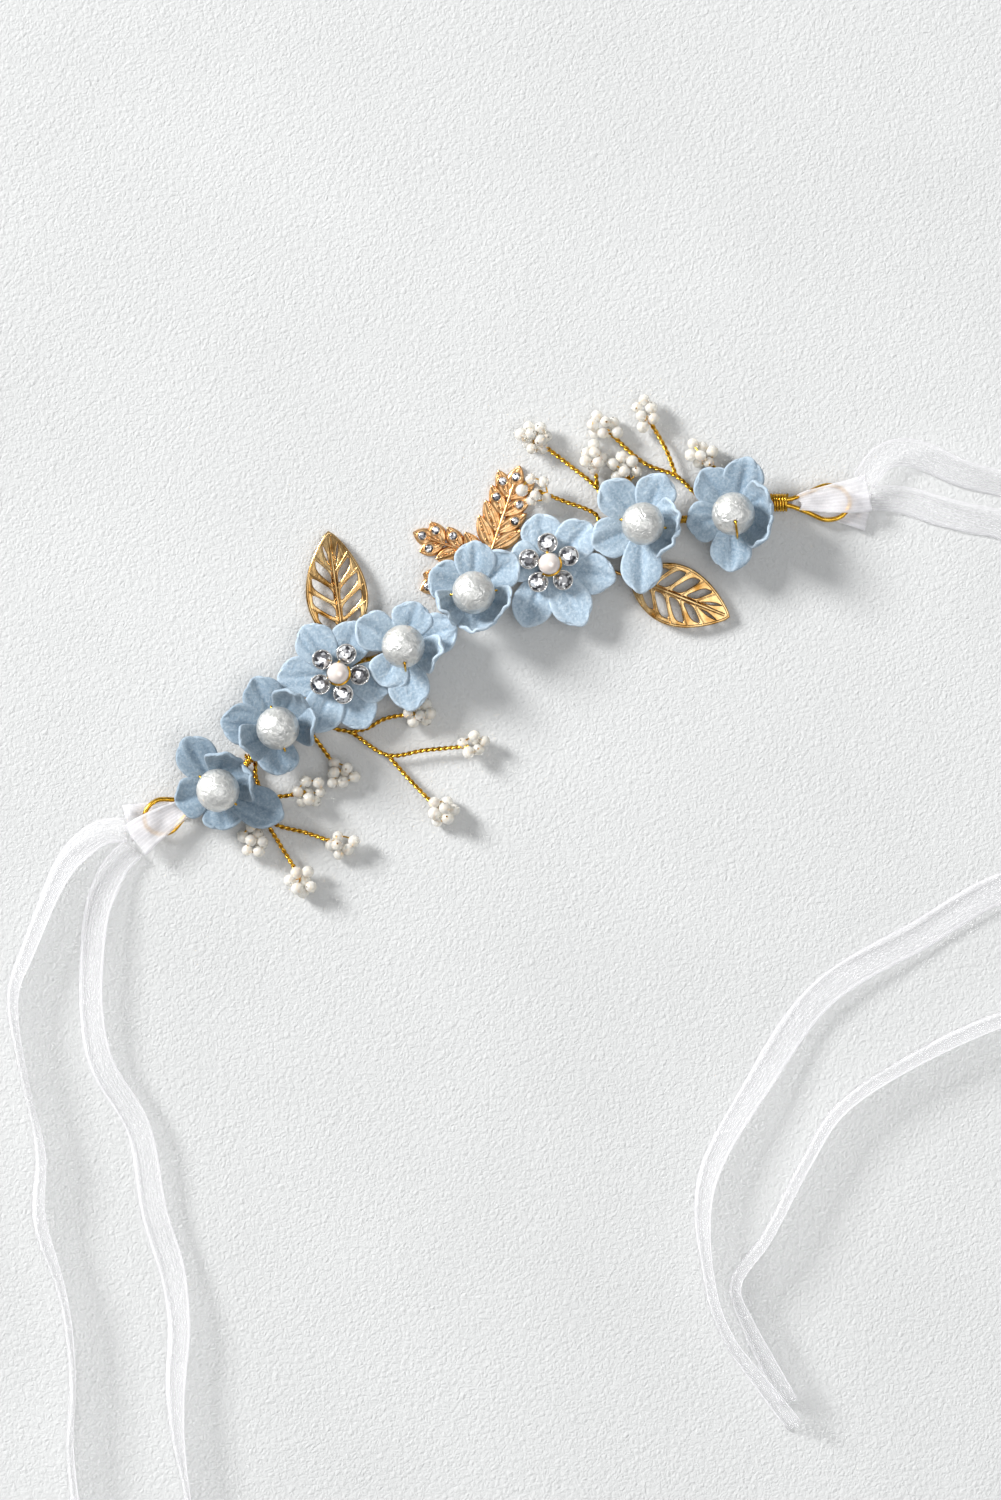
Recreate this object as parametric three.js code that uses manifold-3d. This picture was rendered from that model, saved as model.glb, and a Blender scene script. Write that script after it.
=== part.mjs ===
// Flower crown: a bridal hair vine of moulded flowers, threaded pearls, crystal rings, gilt leaves
// and beaded wire sprigs, all bound to one gilt band wire, with a sheer ribbon in each end loop.
// Millimetres, +Z up. It lies on its back: z = 0 is the surface it rests on, +X runs along the chord.
import * as THREE from 'three';
import Module from 'manifold-3d';

const wasm = await Module();
wasm.setup();

// Wires
const BAND_RADIUS = 0.55;
const BAND_HEIGHT = 2.3;
const BAND_STEPS = 100;
const STEM_RADIUS = 0.4;
const PIN_RADIUS = 0.3;
const PIN_STEPS = 44;
const BINDING_RADIUS = 0.35;
const GAP = 0.3;
const SMALLEST_DETAIL = 0.05;

// Flowers
const FLOWER_BACK = 3.5;
const BASE_RADIUS = 3;
const BASE_THICKNESS = 1.4;
const BASE_HOLE = 1.55;
const PETAL_THICKNESS = 1;
const PETAL_WIDTH = 9.6;
const PETAL_ROOT = 2;
const PETAL_ROOT_HEIGHT = 0.9;
const FLAT_RISE = [12, 6];
const LOW_RISE = [7, 1];
const CUP_RISE = [14, 92];
const CUP_PETAL_SHARE = 0.9;
// A petal's half width grows from ROOT_SHARE to the full width at FULL_AT of its length
const ROOT_SHARE = 0.42;
const FULL_AT = 0.65;
const TIP_SHARE = 0.6;
const TIP_ROUNDING = 0.24;
const PETAL_STATIONS = [0, 0.4, 0.75, 1];
const NEIGHBOUR_CLEARANCE = 0.7;

// Pearls and the wire pins they are threaded on
const PEARL = { radius: 5, height: 7.4, hugEnd: 52 };
const CENTRE_PEARL = { radius: 2.5, height: 6.5, hugEnd: 72 };
const BORE_RADIUS = 0.5;
const PIN_LIFT = 0.7;
const PIN_SPREAD = 0.75;
// Angles in degrees: where the pin leaves the bore, how finely it follows the pearl, and how a steep
// bore's lower leg starts further round.
const PIN_TURN = 9;
const PIN_ARC_STEP = 30;
const STEEP_BORE = 40;
const STEEP_LEG_START = -125;
// Distance along the bore as a share of the pearl's radius
const BORE_MOUTH = 1.06;
const BORE_INSIDE = 0.64;
// Heights of a leg above the flower's back: above the base, in its hole, beside the band and under it
const LEG_TOP = 1.12;
const LEG_IN_HOLE = 0.2;
const LEG_BESIDE_BAND = -1;
const LEG_LOW = -1.7;
const LEG_END = -2.35;

// Crystal rings
const RING_RADIUS = 4.9;
const RING_FLOOR = 2.3;
const CUP_RADIUS = 2.4;
const CUP_BORE = 2.1;
const CUP_HEIGHT = 1.6;
const CUP_FLOOR = 0.5;
const HUB_RADIUS = 2.8;
const HUB_BORE = 1.35;
const CRYSTAL_RADIUS = 1.8;

// Bead clusters: two beads in line with the stem and four round them
const BEAD_RADIUS = 1.5;
const CLUSTER_RADIUS = 1.5;
const CLUSTER_PITCH = 1.5;
const CLUSTER_SPREAD = 1.875;
const CLUSTER_TURN = 1.8;
const CLUSTER_START = 0.4;
const INLINE_OFFSET = 1.3;
const CLUSTER_CENTRE = 2.5;

// Sprig stems and the turns they take round the band
const STEM_LOW = 1.4;
const FORK_HEIGHT = 2;
const ROOT_STEPS = 10;
const ROOT_PITCH = 0.16;

// End loops: shares of the loop's length and its half widths there, from the coil to the tip
const LOOP_HALF_WIDTH = 4;
const LOOP_NECK = 2.2;
const STRAND_OFFSET = 0.7;
const LOOP_SHOULDER = 2.96;
const LOOP_OUTLINE = [[0, STRAND_OFFSET], [0.3, LOOP_NECK], [0.62, LOOP_HALF_WIDTH], [0.88, LOOP_SHOULDER]];
const COIL_HALF_WIDTH = 1.95;
const COIL_HALF_HEIGHT = 1.28;
const COIL_MARGIN = 0.3;
const ENDS = {
  left: { x: -77.3, y: -7.1, heading: 180, length: 12.85, coil: 2.4, turns: 2.5 },
  right: { x: 76.8, y: -3.8, heading: -25.5, length: 14.4, coil: 4.2, turns: 4.5 },
};

// Ribbon
const RIBBON_WIDTH = 7;
const RIBBON_THICKNESS = 0.4;
const FOLD_WIDTH = 3.4;
const FOLD_RADIUS = 1.95;
const FOLD_STEPS = 10;

// Flowers from left to right. Each petal is [azimuth in degrees, reach in mm, 'flat' or 'cup'].
// pin is the azimuth and the elevation of the pearl's bore.
const FLOWERS = [
  { at: [-71.2, -7.2], pin: [117, 0], petals: [[98, 14.7, 'flat'], [170, 10.5, 'flat'],
    [254, 9.4, 'flat'], [312, 16.5, 'flat'], [54, 8.6, 'cup'], [-10, 8.4, 'cup']] },
  { at: [-52.5, -0.2], pin: [-98, 8], petals: [[90, 13.2, 'flat'], [148, 13.6, 'flat'],
    [182, 9, 'cup'], [244, 11, 'flat'], [-22, 8.4, 'cup'], [40, 8.4, 'cup']] },
  { at: [-34.5, 5.3], pin: [60, 0], ring: -30, petals: [[44, 13, 'low'], [102, 13.9, 'low'],
    [160, 14.4, 'low'], [222, 14.9, 'low'], [272, 14.4, 'low'], [320, 13, 'low']] },
  { at: [-18.2, 4.4], pin: [-110, 37], petals: [[126, 12.4, 'flat'], [48, 10.9, 'flat'],
    [-4, 13.4, 'flat'], [214, 10.5, 'flat'], [252, 15.2, 'flat'], [-40, 8.6, 'cup']] },
  { at: [1.8, 8.6], pin: [160, 0], petals: [[130, 11.4, 'flat'], [62, 12.3, 'flat'],
    [16, 13.2, 'flat'], [184, 8.8, 'cup'], [252, 8.8, 'cup'], [-48, 8.4, 'cup']] },
  { at: [20.5, 7.1], pin: [75, 0], ring: -3, petals: [[78, 12.1, 'low'], [18, 13.7, 'low'],
    [322, 16, 'low'], [274, 16.5, 'low'], [222, 15.8, 'low'], [148, 9.6, 'low']] },
  { at: [44, 6.1], pin: [144, 0], petals: [[108, 13.5, 'flat'], [42, 12.8, 'flat'],
    [177, 12.8, 'flat'], [243, 16.2, 'flat'], [300, 8.4, 'cup'], [-10, 8, 'cup']] },
  { at: [63.8, -0.8], pin: [-106, 66], petals: [[98, 12.7, 'flat'], [168, 11, 'flat'],
    [48, 14, 'flat'], [4, 9.3, 'cup'], [304, 9.3, 'cup'], [242, 13.5, 'flat']] },
];

// Beaded sprigs: root is the point on the band, branches are the paths of the stems (x, y),
// each ending in one bead cluster. The second and later branches leave the first one.
const SPRIGS = {
  sprig_left_tip: { root: -65.4, branches: [
    [[-65, -10], [-64.8, -16.7], [-62.3, -20.6], [-57.5, -24.6], [-51.5, -30.5]],
    [[-64.8, -16.7], [-63.7, -26.8], [-62.9, -33.8]],
    [[-64.8, -16.7], [-68.3, -20.6]]] },
  sprig_left_short: { root: -61.8, branches: [
    [[-62.3, -8.4], [-62, -12.6], [-58.8, -14.7], [-53.2, -16.2]]] },
  sprig_left_stub: { root: -46.8, branches: [
    [[-46.6, -3.4], [-45.9, -6.1], [-44.2, -15.4]]] },
  sprig_left_fork: { root: -43.2, branches: [
    [[-42, -1.6], [-41, -5.6], [-38, -8.1], [-32.4, -16.7], [-24.1, -19.4], [-14.6, -22.9]],
    [[-32.4, -16.7], [-30.2, -24.2], [-27.2, -33.2]],
    [[-38, -8.1], [-34.1, -9], [-29.3, -8.8], [-22, -10.9]]] },
  sprig_right_low: { root: 33.2, lift: 1.6, branches: [
    [[34.6, 9.6], [35.4, 12.6], [29.6, 19.2], [25.6, 23.4]]] },
  sprig_right_fork: { root: 36.6, branches: [
    [[38.6, 10.6], [38.2, 18.2], [34.8, 25.7], [30.2, 34.6]],
    [[38.2, 18.2], [40.4, 24.2]]] },
  sprig_right_stub: { root: 49.2, branches: [
    [[47.6, 9], [45.6, 13.1], [45.9, 18.6]]] },
  sprig_right_tall: { root: 56.2, branches: [
    [[59.2, 4.4], [57.8, 8.6], [56, 13], [50.7, 18.7], [46, 29.6]],
    [[56, 13], [56.5, 19.5], [55.8, 28.4]]] },
  sprig_right_tip: { root: 67.5, branches: [
    [[67.8, 3.6], [65.4, 9], [63.7, 14]]] },
};

// Gilt leaves: tip, the foot of the blade, and the place of the eye along the band.
const LEAVES = {
  gilt_leaf_left: { tip: [-22.6, 35.9], foot: [-30.6, 10.8], eye: -27.8 },
  gilt_leaf_right: { tip: [52.9, -21.7], foot: [36.6, -4], eye: 28.6 },
};
const LEAF_WIDTH = 13.6;
const LEAF_THICKNESS = 0.8;
const LEAF_HEIGHT = 1.6;
const LEAF_VEINS = 5;
const FIRST_SLOT = 0.12;
const SLOT_PITCH = 0.145;
// Corners of a slot: share of the leaf's length from the slot's start, and whether it lies by the rim.
const SLOT_CORNERS = [[0, false], [0.095, false], [0.17, true], [0.08, true]];
const MIDRIB_HALF_WIDTH = 0.8;
const RIM_WIDTH = 1.1;
const CUTTER_HEIGHT = 4;

// Eyes that close round the band, and the stalks from them to the leaves and the laurel
const EYE_RADIUS = 1.25;
const STALK_RADIUS = 0.5;
const STALK_INSET = 0.1;
const STALK_BEND = 1;
const STALK_OVERLAP = 0.8;

// Cast laurel: the arms' tips, the pairs of leaflets on each arm and the length of a leaflet.
const LAUREL_HUB = [8.2, 14.2];
const LAUREL_HUB_RADIUS = 3;
const LAUREL_ARMS = [
  { tip: [24.3, 30.8], pairs: 5, leaflet: 7.2 },
  { tip: [-4.8, 27.5], pairs: 3, leaflet: 5.8 },
  { tip: [-9.1, 14.7], pairs: 4, leaflet: 5.6 },
];
const LAUREL_THICKNESS = 1.2;
const LAUREL_EYE = 11;
const LAUREL_RIB_WIDTH = 2;
const LEAFLET_WIDTH = 3.3;
const LEAFLET_ANGLE = 40;
const LEAFLET_TAPER = 0.06;
const FIRST_PAIR = 0.12;
const TIP_LEAFLET = 0.72;

// Ribbon tails: centreline points (x, y, z) from the end loop to the free end.
const TAILS = {
  ribbon_left_tail_inner: [[-95, -10.6, 1.6], [-101, -13.1, 1.2], [-106.8, -18.1, 1], [-111.4, -24.1, 1],
    [-119.7, -40.2, 1], [-123.1, -52.3, 1], [-121.9, -70.1, 1], [-126.9, -89, 1], [-129.2, -103.8, 1],
    [-133, -115.1, 1], [-141.8, -131.9, 1], [-147.6, -149.1, 1], [-151, -166, 1], [-146, -182, 1],
    [-131, -194, 1], [-110, -203, 1], [-84, -214, 1], [-58, -224, 1]],
  ribbon_left_tail_outer: [[-94.6, -6.2, 4.2], [-100, -4.4, 3.4], [-107.8, -6, 2.2], [-115, -10.6, 1],
    [-127.3, -22, 1], [-134.7, -29.5, 1], [-140.2, -46.2, 1], [-144.6, -65, 1], [-151.5, -78.9, 1],
    [-154.3, -96.9, 1], [-160.2, -115.3, 1], [-168.6, -131.2, 1], [-174, -150, 1], [-172, -176, 1],
    [-158, -196, 1], [-136, -210, 1], [-112, -221, 1], [-88, -231, 1]],
  ribbon_right_tail_inner: [[94.6, -11, 1.2], [101.3, -14.7, 1], [107, -20, 1], [113.1, -25, 1],
    [119.4, -29.8, 1], [133.7, -46.4, 1], [142.1, -69.6, 1], [140.6, -90.2, 1], [127.5, -106.4, 1],
    [106, -112, 1], [83, -106, 1], [62.1, -107.6, 1], [35.1, -110.3, 1], [14.1, -121.6, 1],
    [-8.6, -138.6, 1.6], [-18.1, -160.8, 2.2], [-19.2, -172.7, 2.2], [-16.7, -186.2, 2.2],
    [-14, -198.1, 2.2]],
  ribbon_right_tail_outer: [[94.6, -6.9, 4.4], [100, -4.1, 3.4], [105, -4.3, 2.4], [109.6, -7.4, 1.6],
    [116, -14.8, 1], [124.3, -21.8, 1], [139.9, -35, 1], [156.9, -57, 1], [164.2, -86, 1], [155.5, -112, 1],
    [138, -134, 1], [110, -141, 1], [69.9, -133.6, 1], [28.6, -135.7, 1], [14.5, -144.1, 1],
    [-1.3, -155.7, 1], [-12.6, -162.7, 1], [-13.7, -172, 1], [-13, -192.4, 1]],
};
const TAIL_STEPS = 19;

const FINISH = {
  gold: { color: 0xc8922c, roughness: 0.28, metalness: 1 },
  rose: { color: 0xd7a27a, roughness: 0.4, metalness: 1 },
  petal: { color: 0x9fb9d6, roughness: 0.85, metalness: 0 },
  pearl: { color: 0xe9e6dc, roughness: 0.45, metalness: 0 },
  smallPearl: { color: 0xf1e2dc, roughness: 0.25, metalness: 0 },
  silver: { color: 0xc9c9c9, roughness: 0.25, metalness: 1 },
  crystal: { color: 0xe8eaee, roughness: 0.05, metalness: 0 },
  bead: { color: 0xf0e8d8, roughness: 0.3, metalness: 0 },
  ribbon: { color: 0xf2f0f2, roughness: 0.7, metalness: 0 },
};

const radians = THREE.MathUtils.degToRad;
const UP = new THREE.Vector3(0, 0, 1);

function solidOf(geometry) {
  const position = geometry.getAttribute('position');
  const index = geometry.getIndex();
  const corners = index ? Array.from(index.array) : [...Array(position.count).keys()];
  const seen = new Map();
  const vertices = [];
  const merged = corners.map((corner) => {
    const point = [position.getX(corner), position.getY(corner), position.getZ(corner)];
    const key = point.map((value) => Math.round(value * 1e4)).join();
    if (!seen.has(key)) {
      seen.set(key, seen.size);
      vertices.push(...point);
    }
    return seen.get(key);
  });
  const triangles = [];
  for (let i = 0; i < merged.length; i += 3) {
    const [a, b, c] = merged.slice(i, i + 3);
    if (a !== b && b !== c && c !== a) triangles.push(a, b, c);
  }
  return new wasm.Manifold(new wasm.Mesh({
    numProp: 3,
    vertProperties: new Float32Array(vertices),
    triVerts: new Uint32Array(triangles),
  }));
}

function geometryOf(solid) {
  const mesh = solid.asOriginal().simplify(SMALLEST_DETAIL).getMesh();
  const geometry = new THREE.BufferGeometry();
  geometry.setAttribute('position', new THREE.BufferAttribute(new Float32Array(mesh.vertProperties), 3));
  geometry.setIndex(new THREE.BufferAttribute(new Uint32Array(mesh.triVerts), 1));
  const faceted = geometry.toNonIndexed();
  faceted.computeVertexNormals();
  return faceted;
}

const join = (solids) => solids.reduce((whole, solid) => whole.add(solid));

function largestBody(solid) {
  return solid.decompose().sort((a, b) => b.volume() - a.volume())[0];
}

function disc(radius, bottom, top, at = [0, 0], sides = 10) {
  const shape = new THREE.CylinderGeometry(radius, radius, top - bottom, sides);
  shape.rotateX(Math.PI / 2);
  shape.translate(at[0], at[1], (bottom + top) / 2);
  return solidOf(shape);
}

function ball(radius, at) {
  const shape = new THREE.SphereGeometry(radius, 14, 9);
  shape.translate(at.x, at.y, at.z);
  return solidOf(shape);
}

function roundWire(points, radius, steps, sides = 6) {
  const section = new THREE.Shape();
  for (let i = 0; i < sides; i += 1) {
    const angle = (i / sides) * 2 * Math.PI;
    section[i ? 'lineTo' : 'moveTo'](radius * Math.cos(angle), radius * Math.sin(angle));
  }
  section.closePath();
  const path = new THREE.CatmullRomCurve3(points, false, 'centripetal');
  return solidOf(new THREE.ExtrudeGeometry(section, { extrudePath: path, steps, bevelEnabled: false }));
}

// A closed skin over a row of sections. Each section lists its upper points, then its lower points
// in the opposite order.
function loft(rows) {
  const around = rows[0].length;
  const vertices = rows.flat().flatMap((point) => [point.x, point.y, point.z]);
  const triangles = [];
  for (let row = 0; row + 1 < rows.length; row += 1) {
    for (let i = 0; i < around; i += 1) {
      const a = row * around + i;
      const b = row * around + ((i + 1) % around);
      triangles.push(a, b, b + around, a, b + around, a + around);
    }
  }
  const last = (rows.length - 1) * around;
  for (let i = 0; i + 1 < around / 2; i += 1) {
    const [a, b, c, d] = [i, i + 1, around - 2 - i, around - 1 - i];
    triangles.push(a, d, c, a, c, b);
    triangles.push(last + a, last + b, last + c, last + a, last + c, last + d);
  }
  const geometry = new THREE.BufferGeometry();
  geometry.setAttribute('position', new THREE.BufferAttribute(new Float32Array(vertices), 3));
  geometry.setIndex(triangles);
  const solid = solidOf(geometry);
  return solid.volume() > 0 ? solid : solidOf(flipped(geometry));
}

function flipped(geometry) {
  const index = geometry.getIndex().array;
  const turned = [];
  for (let i = 0; i < index.length; i += 3) turned.push(index[i], index[i + 2], index[i + 1]);
  geometry.setIndex(turned);
  return geometry;
}

// One petal: a slab that follows an arc in the upright plane of its azimuth.
function petal([azimuth, reach, kind], extra) {
  const [from, to] = { flat: FLAT_RISE, low: LOW_RISE, cup: CUP_RISE }[kind].map(radians);
  const mean = (Math.sin(to) - Math.sin(from)) / (to - from);
  const length = (reach + extra / 2 - PETAL_ROOT) / mean;
  const half = (PETAL_THICKNESS + extra) / 2;
  const width = (kind === 'cup' ? PETAL_WIDTH * CUP_PETAL_SHARE : PETAL_WIDTH) + extra;
  const radius = length / (to - from);
  const rows = [];
  for (const t of PETAL_STATIONS) {
    const swell = Math.sin(Math.min(t / FULL_AT, 1) * Math.PI / 2);
    const outline = (ROOT_SHARE + (1 - ROOT_SHARE) * swell) * (t === 1 ? TIP_SHARE : 1);
    const top = [];
    const under = [];
    for (const side of [-1, 0, 1]) {
      const along = t - TIP_ROUNDING * side * side * t ** 3;
      const rise = from + (to - from) * along;
      const out = PETAL_ROOT + radius * (Math.sin(rise) - Math.sin(from));
      const height = PETAL_ROOT_HEIGHT + radius * (Math.cos(from) - Math.cos(rise));
      const across = side * outline * width / 2;
      top.push(new THREE.Vector3(out - half * Math.sin(rise), across, height + half * Math.cos(rise)));
      under.unshift(new THREE.Vector3(out + half * Math.sin(rise), across, height - half * Math.cos(rise)));
    }
    rows.push([...top, ...under]);
  }
  return loft(rows).rotate([0, 0, azimuth]);
}

function flowerBody(flower, extra = 0) {
  const petals = flower.petals.map((one) => petal(one, extra));
  const base = disc(BASE_RADIUS + extra / 2, 0, BASE_THICKNESS);
  return join([base, ...petals]).translate([...flower.at, FLOWER_BACK]);
}

// Petals give way where the next flower lies over them: pearl flowers over ring flowers.
function flower(number) {
  const own = FLOWERS[number];
  const rank = (i) => (FLOWERS[i].ring === undefined ? 10 : 0) + i;
  let solid = flowerBody(own);
  for (const other of [number - 1, number + 1]) {
    if (FLOWERS[other] && rank(other) > rank(number)) {
      solid = solid.subtract(flowerBody(FLOWERS[other], NEIGHBOUR_CLEARANCE));
    }
  }
  const hole = disc(BASE_HOLE, FLOWER_BACK - 1, FLOWER_BACK + BASE_THICKNESS + 1, own.at);
  return largestBody(solid.subtract(hole));
}

function boreAxis([azimuth, elevation]) {
  const level = Math.cos(radians(elevation));
  return new THREE.Vector3(level * Math.cos(radians(azimuth)), level * Math.sin(radians(azimuth)),
    Math.sin(radians(elevation)));
}

function pearlCentre(flower, pearl) {
  return new THREE.Vector3(...flower.at, FLOWER_BACK + pearl.height);
}

function threadedPearl(flower, pearl) {
  const centre = pearlCentre(flower, pearl);
  const bore = new THREE.CylinderGeometry(BORE_RADIUS, BORE_RADIUS, 4 * pearl.radius, 6);
  const lengthwise = new THREE.Vector3(0, 1, 0);
  bore.applyQuaternion(new THREE.Quaternion().setFromUnitVectors(lengthwise, boreAxis(flower.pin)));
  bore.translate(centre.x, centre.y, centre.z);
  return ball(pearl.radius, centre).subtract(solidOf(bore));
}

// The pin runs through the bore, hugs the pearl on both sides, drops through the flower
// and closes round the band wire under it.
function pearlPin(flower, pearl, bandDirection) {
  const centre = pearlCentre(flower, pearl);
  const [azimuth, elevation] = flower.pin.map(radians);
  const out = new THREE.Vector3(Math.cos(azimuth), Math.sin(azimuth), 0);
  const side = new THREE.Vector3(-bandDirection.y, bandDirection.x, 0);
  if (side.dot(out) < 0) side.negate();
  const hug = pearl.radius + PIN_LIFT;
  const clasp = BAND_RADIUS + GAP + PIN_RADIUS;
  const onArc = (angle) => centre.clone().addScaledVector(out, hug * Math.cos(angle))
    .addScaledVector(UP, hug * Math.sin(angle));
  const below = (direction, distance, height) => new THREE.Vector3(...flower.at, FLOWER_BACK + height)
    .addScaledVector(direction, distance);
  const leg = (sign, start) => {
    const points = [];
    const stop = radians(sign > 0 ? -pearl.hugEnd : pearl.hugEnd - 180);
    const span = Math.abs(stop - start);
    const count = Math.max(1, Math.round(span / radians(PIN_ARC_STEP)));
    for (let i = 1; i <= count; i += 1) points.push(onArc(start + (stop - start) * (i / count)));
    const turning = out.clone().add(side).normalize();
    points.push(below(out, sign * PIN_SPREAD, LEG_TOP));
    points.push(below(turning, sign * (PIN_SPREAD + SMALLEST_DETAIL), LEG_IN_HOLE));
    points.push(below(side, sign * (clasp + SMALLEST_DETAIL), LEG_BESIDE_BAND));
    points.push(below(side, sign * clasp, LEG_LOW));
    points.push(below(side, sign * (PIN_RADIUS + GAP / 2), LEG_END));
    return points;
  };
  const axis = boreAxis(flower.pin);
  const upper = leg(1, elevation - radians(PIN_TURN)).reverse();
  const steep = elevation > radians(STEEP_BORE);
  const lower = leg(-1, steep ? radians(STEEP_LEG_START) : elevation - Math.PI + radians(PIN_TURN));
  const inside = [BORE_MOUTH, BORE_INSIDE, 0, -BORE_INSIDE, -BORE_MOUTH]
    .map((share) => centre.clone().addScaledVector(axis, share * pearl.radius));
  return roundWire([...upper, ...inside, ...lower], PIN_RADIUS, PIN_STEPS, 4);
}

function ringSpots(flower) {
  return [0, 1, 2, 3, 4].map((i) => {
    const angle = radians(flower.ring + 72 * i);
    return [flower.at[0] + RING_RADIUS * Math.cos(angle), flower.at[1] + RING_RADIUS * Math.sin(angle)];
  });
}

function stoneRing(flower) {
  const floor = FLOWER_BACK + RING_FLOOR;
  const cups = ringSpots(flower).map((spot) => disc(CUP_RADIUS, floor, floor + CUP_HEIGHT, spot, 10)
    .subtract(disc(CUP_BORE, floor + CUP_FLOOR, floor + 2 * CUP_HEIGHT, spot, 10)));
  const hub = disc(HUB_RADIUS, floor, floor + CUP_FLOOR + 0.1, flower.at);
  return join([hub, ...cups]).subtract(disc(HUB_BORE, floor - 1, floor + CUP_HEIGHT, flower.at));
}

function crystal(spot) {
  const seat = FLOWER_BACK + RING_FLOOR + CUP_FLOOR + GAP;
  const profile = [[0, 0], [CRYSTAL_RADIUS, 0.8], [CRYSTAL_RADIUS, 1], [CRYSTAL_RADIUS * 0.6, 1.6], [0, 1.6]];
  const shape = new THREE.LatheGeometry(profile.map(([r, z]) => new THREE.Vector2(r, z)), 8);
  shape.rotateX(Math.PI / 2);
  shape.translate(spot[0], spot[1], seat);
  return solidOf(shape);
}

const flowerPoints = FLOWERS.map(({ at }) => new THREE.Vector3(...at, BAND_HEIGHT));

function endPoint(end, along, across, height = BAND_HEIGHT) {
  const heading = radians(end.heading);
  return new THREE.Vector3(end.x + along * Math.cos(heading) - across * Math.sin(heading),
    end.y + along * Math.sin(heading) + across * Math.cos(heading), height);
}

// From the outer strand inside the coil, round the loop, and back through the coil.
function loopPoints(end) {
  const outline = LOOP_OUTLINE.map(([share, half]) => [share * end.length, half]);
  outline.unshift([-end.coil, STRAND_OFFSET]);
  const going = outline.map(([along, half]) => endPoint(end, along, half));
  const coming = outline.reverse().map(([along, half]) => endPoint(end, along, -half));
  return [...going, endPoint(end, end.length, 0), ...coming];
}

function bandWire() {
  const points = [...loopPoints(ENDS.left), ...flowerPoints, ...loopPoints(ENDS.right)];
  return roundWire(points, BAND_RADIUS, BAND_STEPS);
}

function loopBinding(end) {
  const points = [];
  const count = Math.round(end.turns * 8);
  for (let i = 0; i <= count; i += 1) {
    const angle = (i / 8) * 2 * Math.PI;
    const along = -end.coil + COIL_MARGIN + (end.coil - 2 * COIL_MARGIN) * (i / count);
    points.push(endPoint(end, along, COIL_HALF_WIDTH * Math.cos(angle),
      BAND_HEIGHT + COIL_HALF_HEIGHT * Math.sin(angle)));
  }
  return roundWire(points, BINDING_RADIUS, count, 5);
}

const bandCurve = new THREE.CatmullRomCurve3(
  [endPoint(ENDS.left, -ENDS.left.coil, 0), ...flowerPoints, endPoint(ENDS.right, -ENDS.right.coil, 0)],
  false, 'centripetal');

// The point of the band with the given x, found by halving.
function bandAt(x) {
  let low = 0;
  let high = 1;
  for (let i = 0; i < 40; i += 1) {
    const middle = (low + high) / 2;
    if (bandCurve.getPointAt(middle).x < x) low = middle;
    else high = middle;
  }
  return { point: bandCurve.getPointAt(low), direction: bandCurve.getTangentAt(low) };
}

// A stem's root: one and a half turns round the band, ending on the side it leaves by.
function rootTurns(x, toward) {
  const { point, direction } = bandAt(x);
  const side = new THREE.Vector3(-direction.y, direction.x, 0);
  if (side.dot(toward.clone().sub(point)) < 0) side.negate();
  const radius = BAND_RADIUS + GAP + STEM_RADIUS + 0.05;
  const points = [];
  for (let i = 0; i <= ROOT_STEPS; i += 1) {
    const angle = -Math.PI / 2 - (ROOT_STEPS - i) * Math.PI / 4;
    points.push(point.clone().addScaledVector(direction, i * ROOT_PITCH)
      .addScaledVector(side, radius * Math.cos(angle)).addScaledVector(UP, radius * Math.sin(angle)));
  }
  return points;
}

function beadCluster(tip, direction) {
  const flat = direction.clone().setZ(0).normalize();
  const side = new THREE.Vector3(-flat.y, flat.x, 0);
  const beads = [];
  for (const along of [-INLINE_OFFSET, INLINE_OFFSET]) beads.push(tip.clone().addScaledVector(flat, along));
  for (let i = 0; i < 4; i += 1) {
    const angle = i * CLUSTER_TURN + CLUSTER_START;
    beads.push(tip.clone().addScaledVector(flat, (i - 1.5) * CLUSTER_PITCH)
      .addScaledVector(side, CLUSTER_SPREAD * Math.cos(angle))
      .addScaledVector(UP, CLUSTER_RADIUS * Math.sin(angle)));
  }
  return join(beads.map((at) => {
    const bead = new THREE.IcosahedronGeometry(BEAD_RADIUS, 0);
    bead.translate(at.x, at.y, at.z);
    return solidOf(bead);
  }));
}

function sprig({ root, branches, lift = 0 }) {
  const pieces = [];
  branches.forEach((branch, number) => {
    const path = branch.map(([x, y], i) => {
      const share = (i + 1) / branch.length;
      return new THREE.Vector3(x, y, STEM_LOW + (CLUSTER_CENTRE + lift - STEM_LOW) * share);
    });
    const points = number === 0 ? [...rootTurns(root, path[0]), ...path] : path;
    if (number > 0) points[0].z = FORK_HEIGHT;
    const tip = path[path.length - 1];
    const steps = number === 0 ? 16 + 2 * path.length : 2 * path.length;
    pieces.push(roundWire(points, STEM_RADIUS, steps, 4));
    pieces.push(beadCluster(tip, tip.clone().sub(path[path.length - 2])));
  });
  return largestBody(join(pieces));
}

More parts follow.
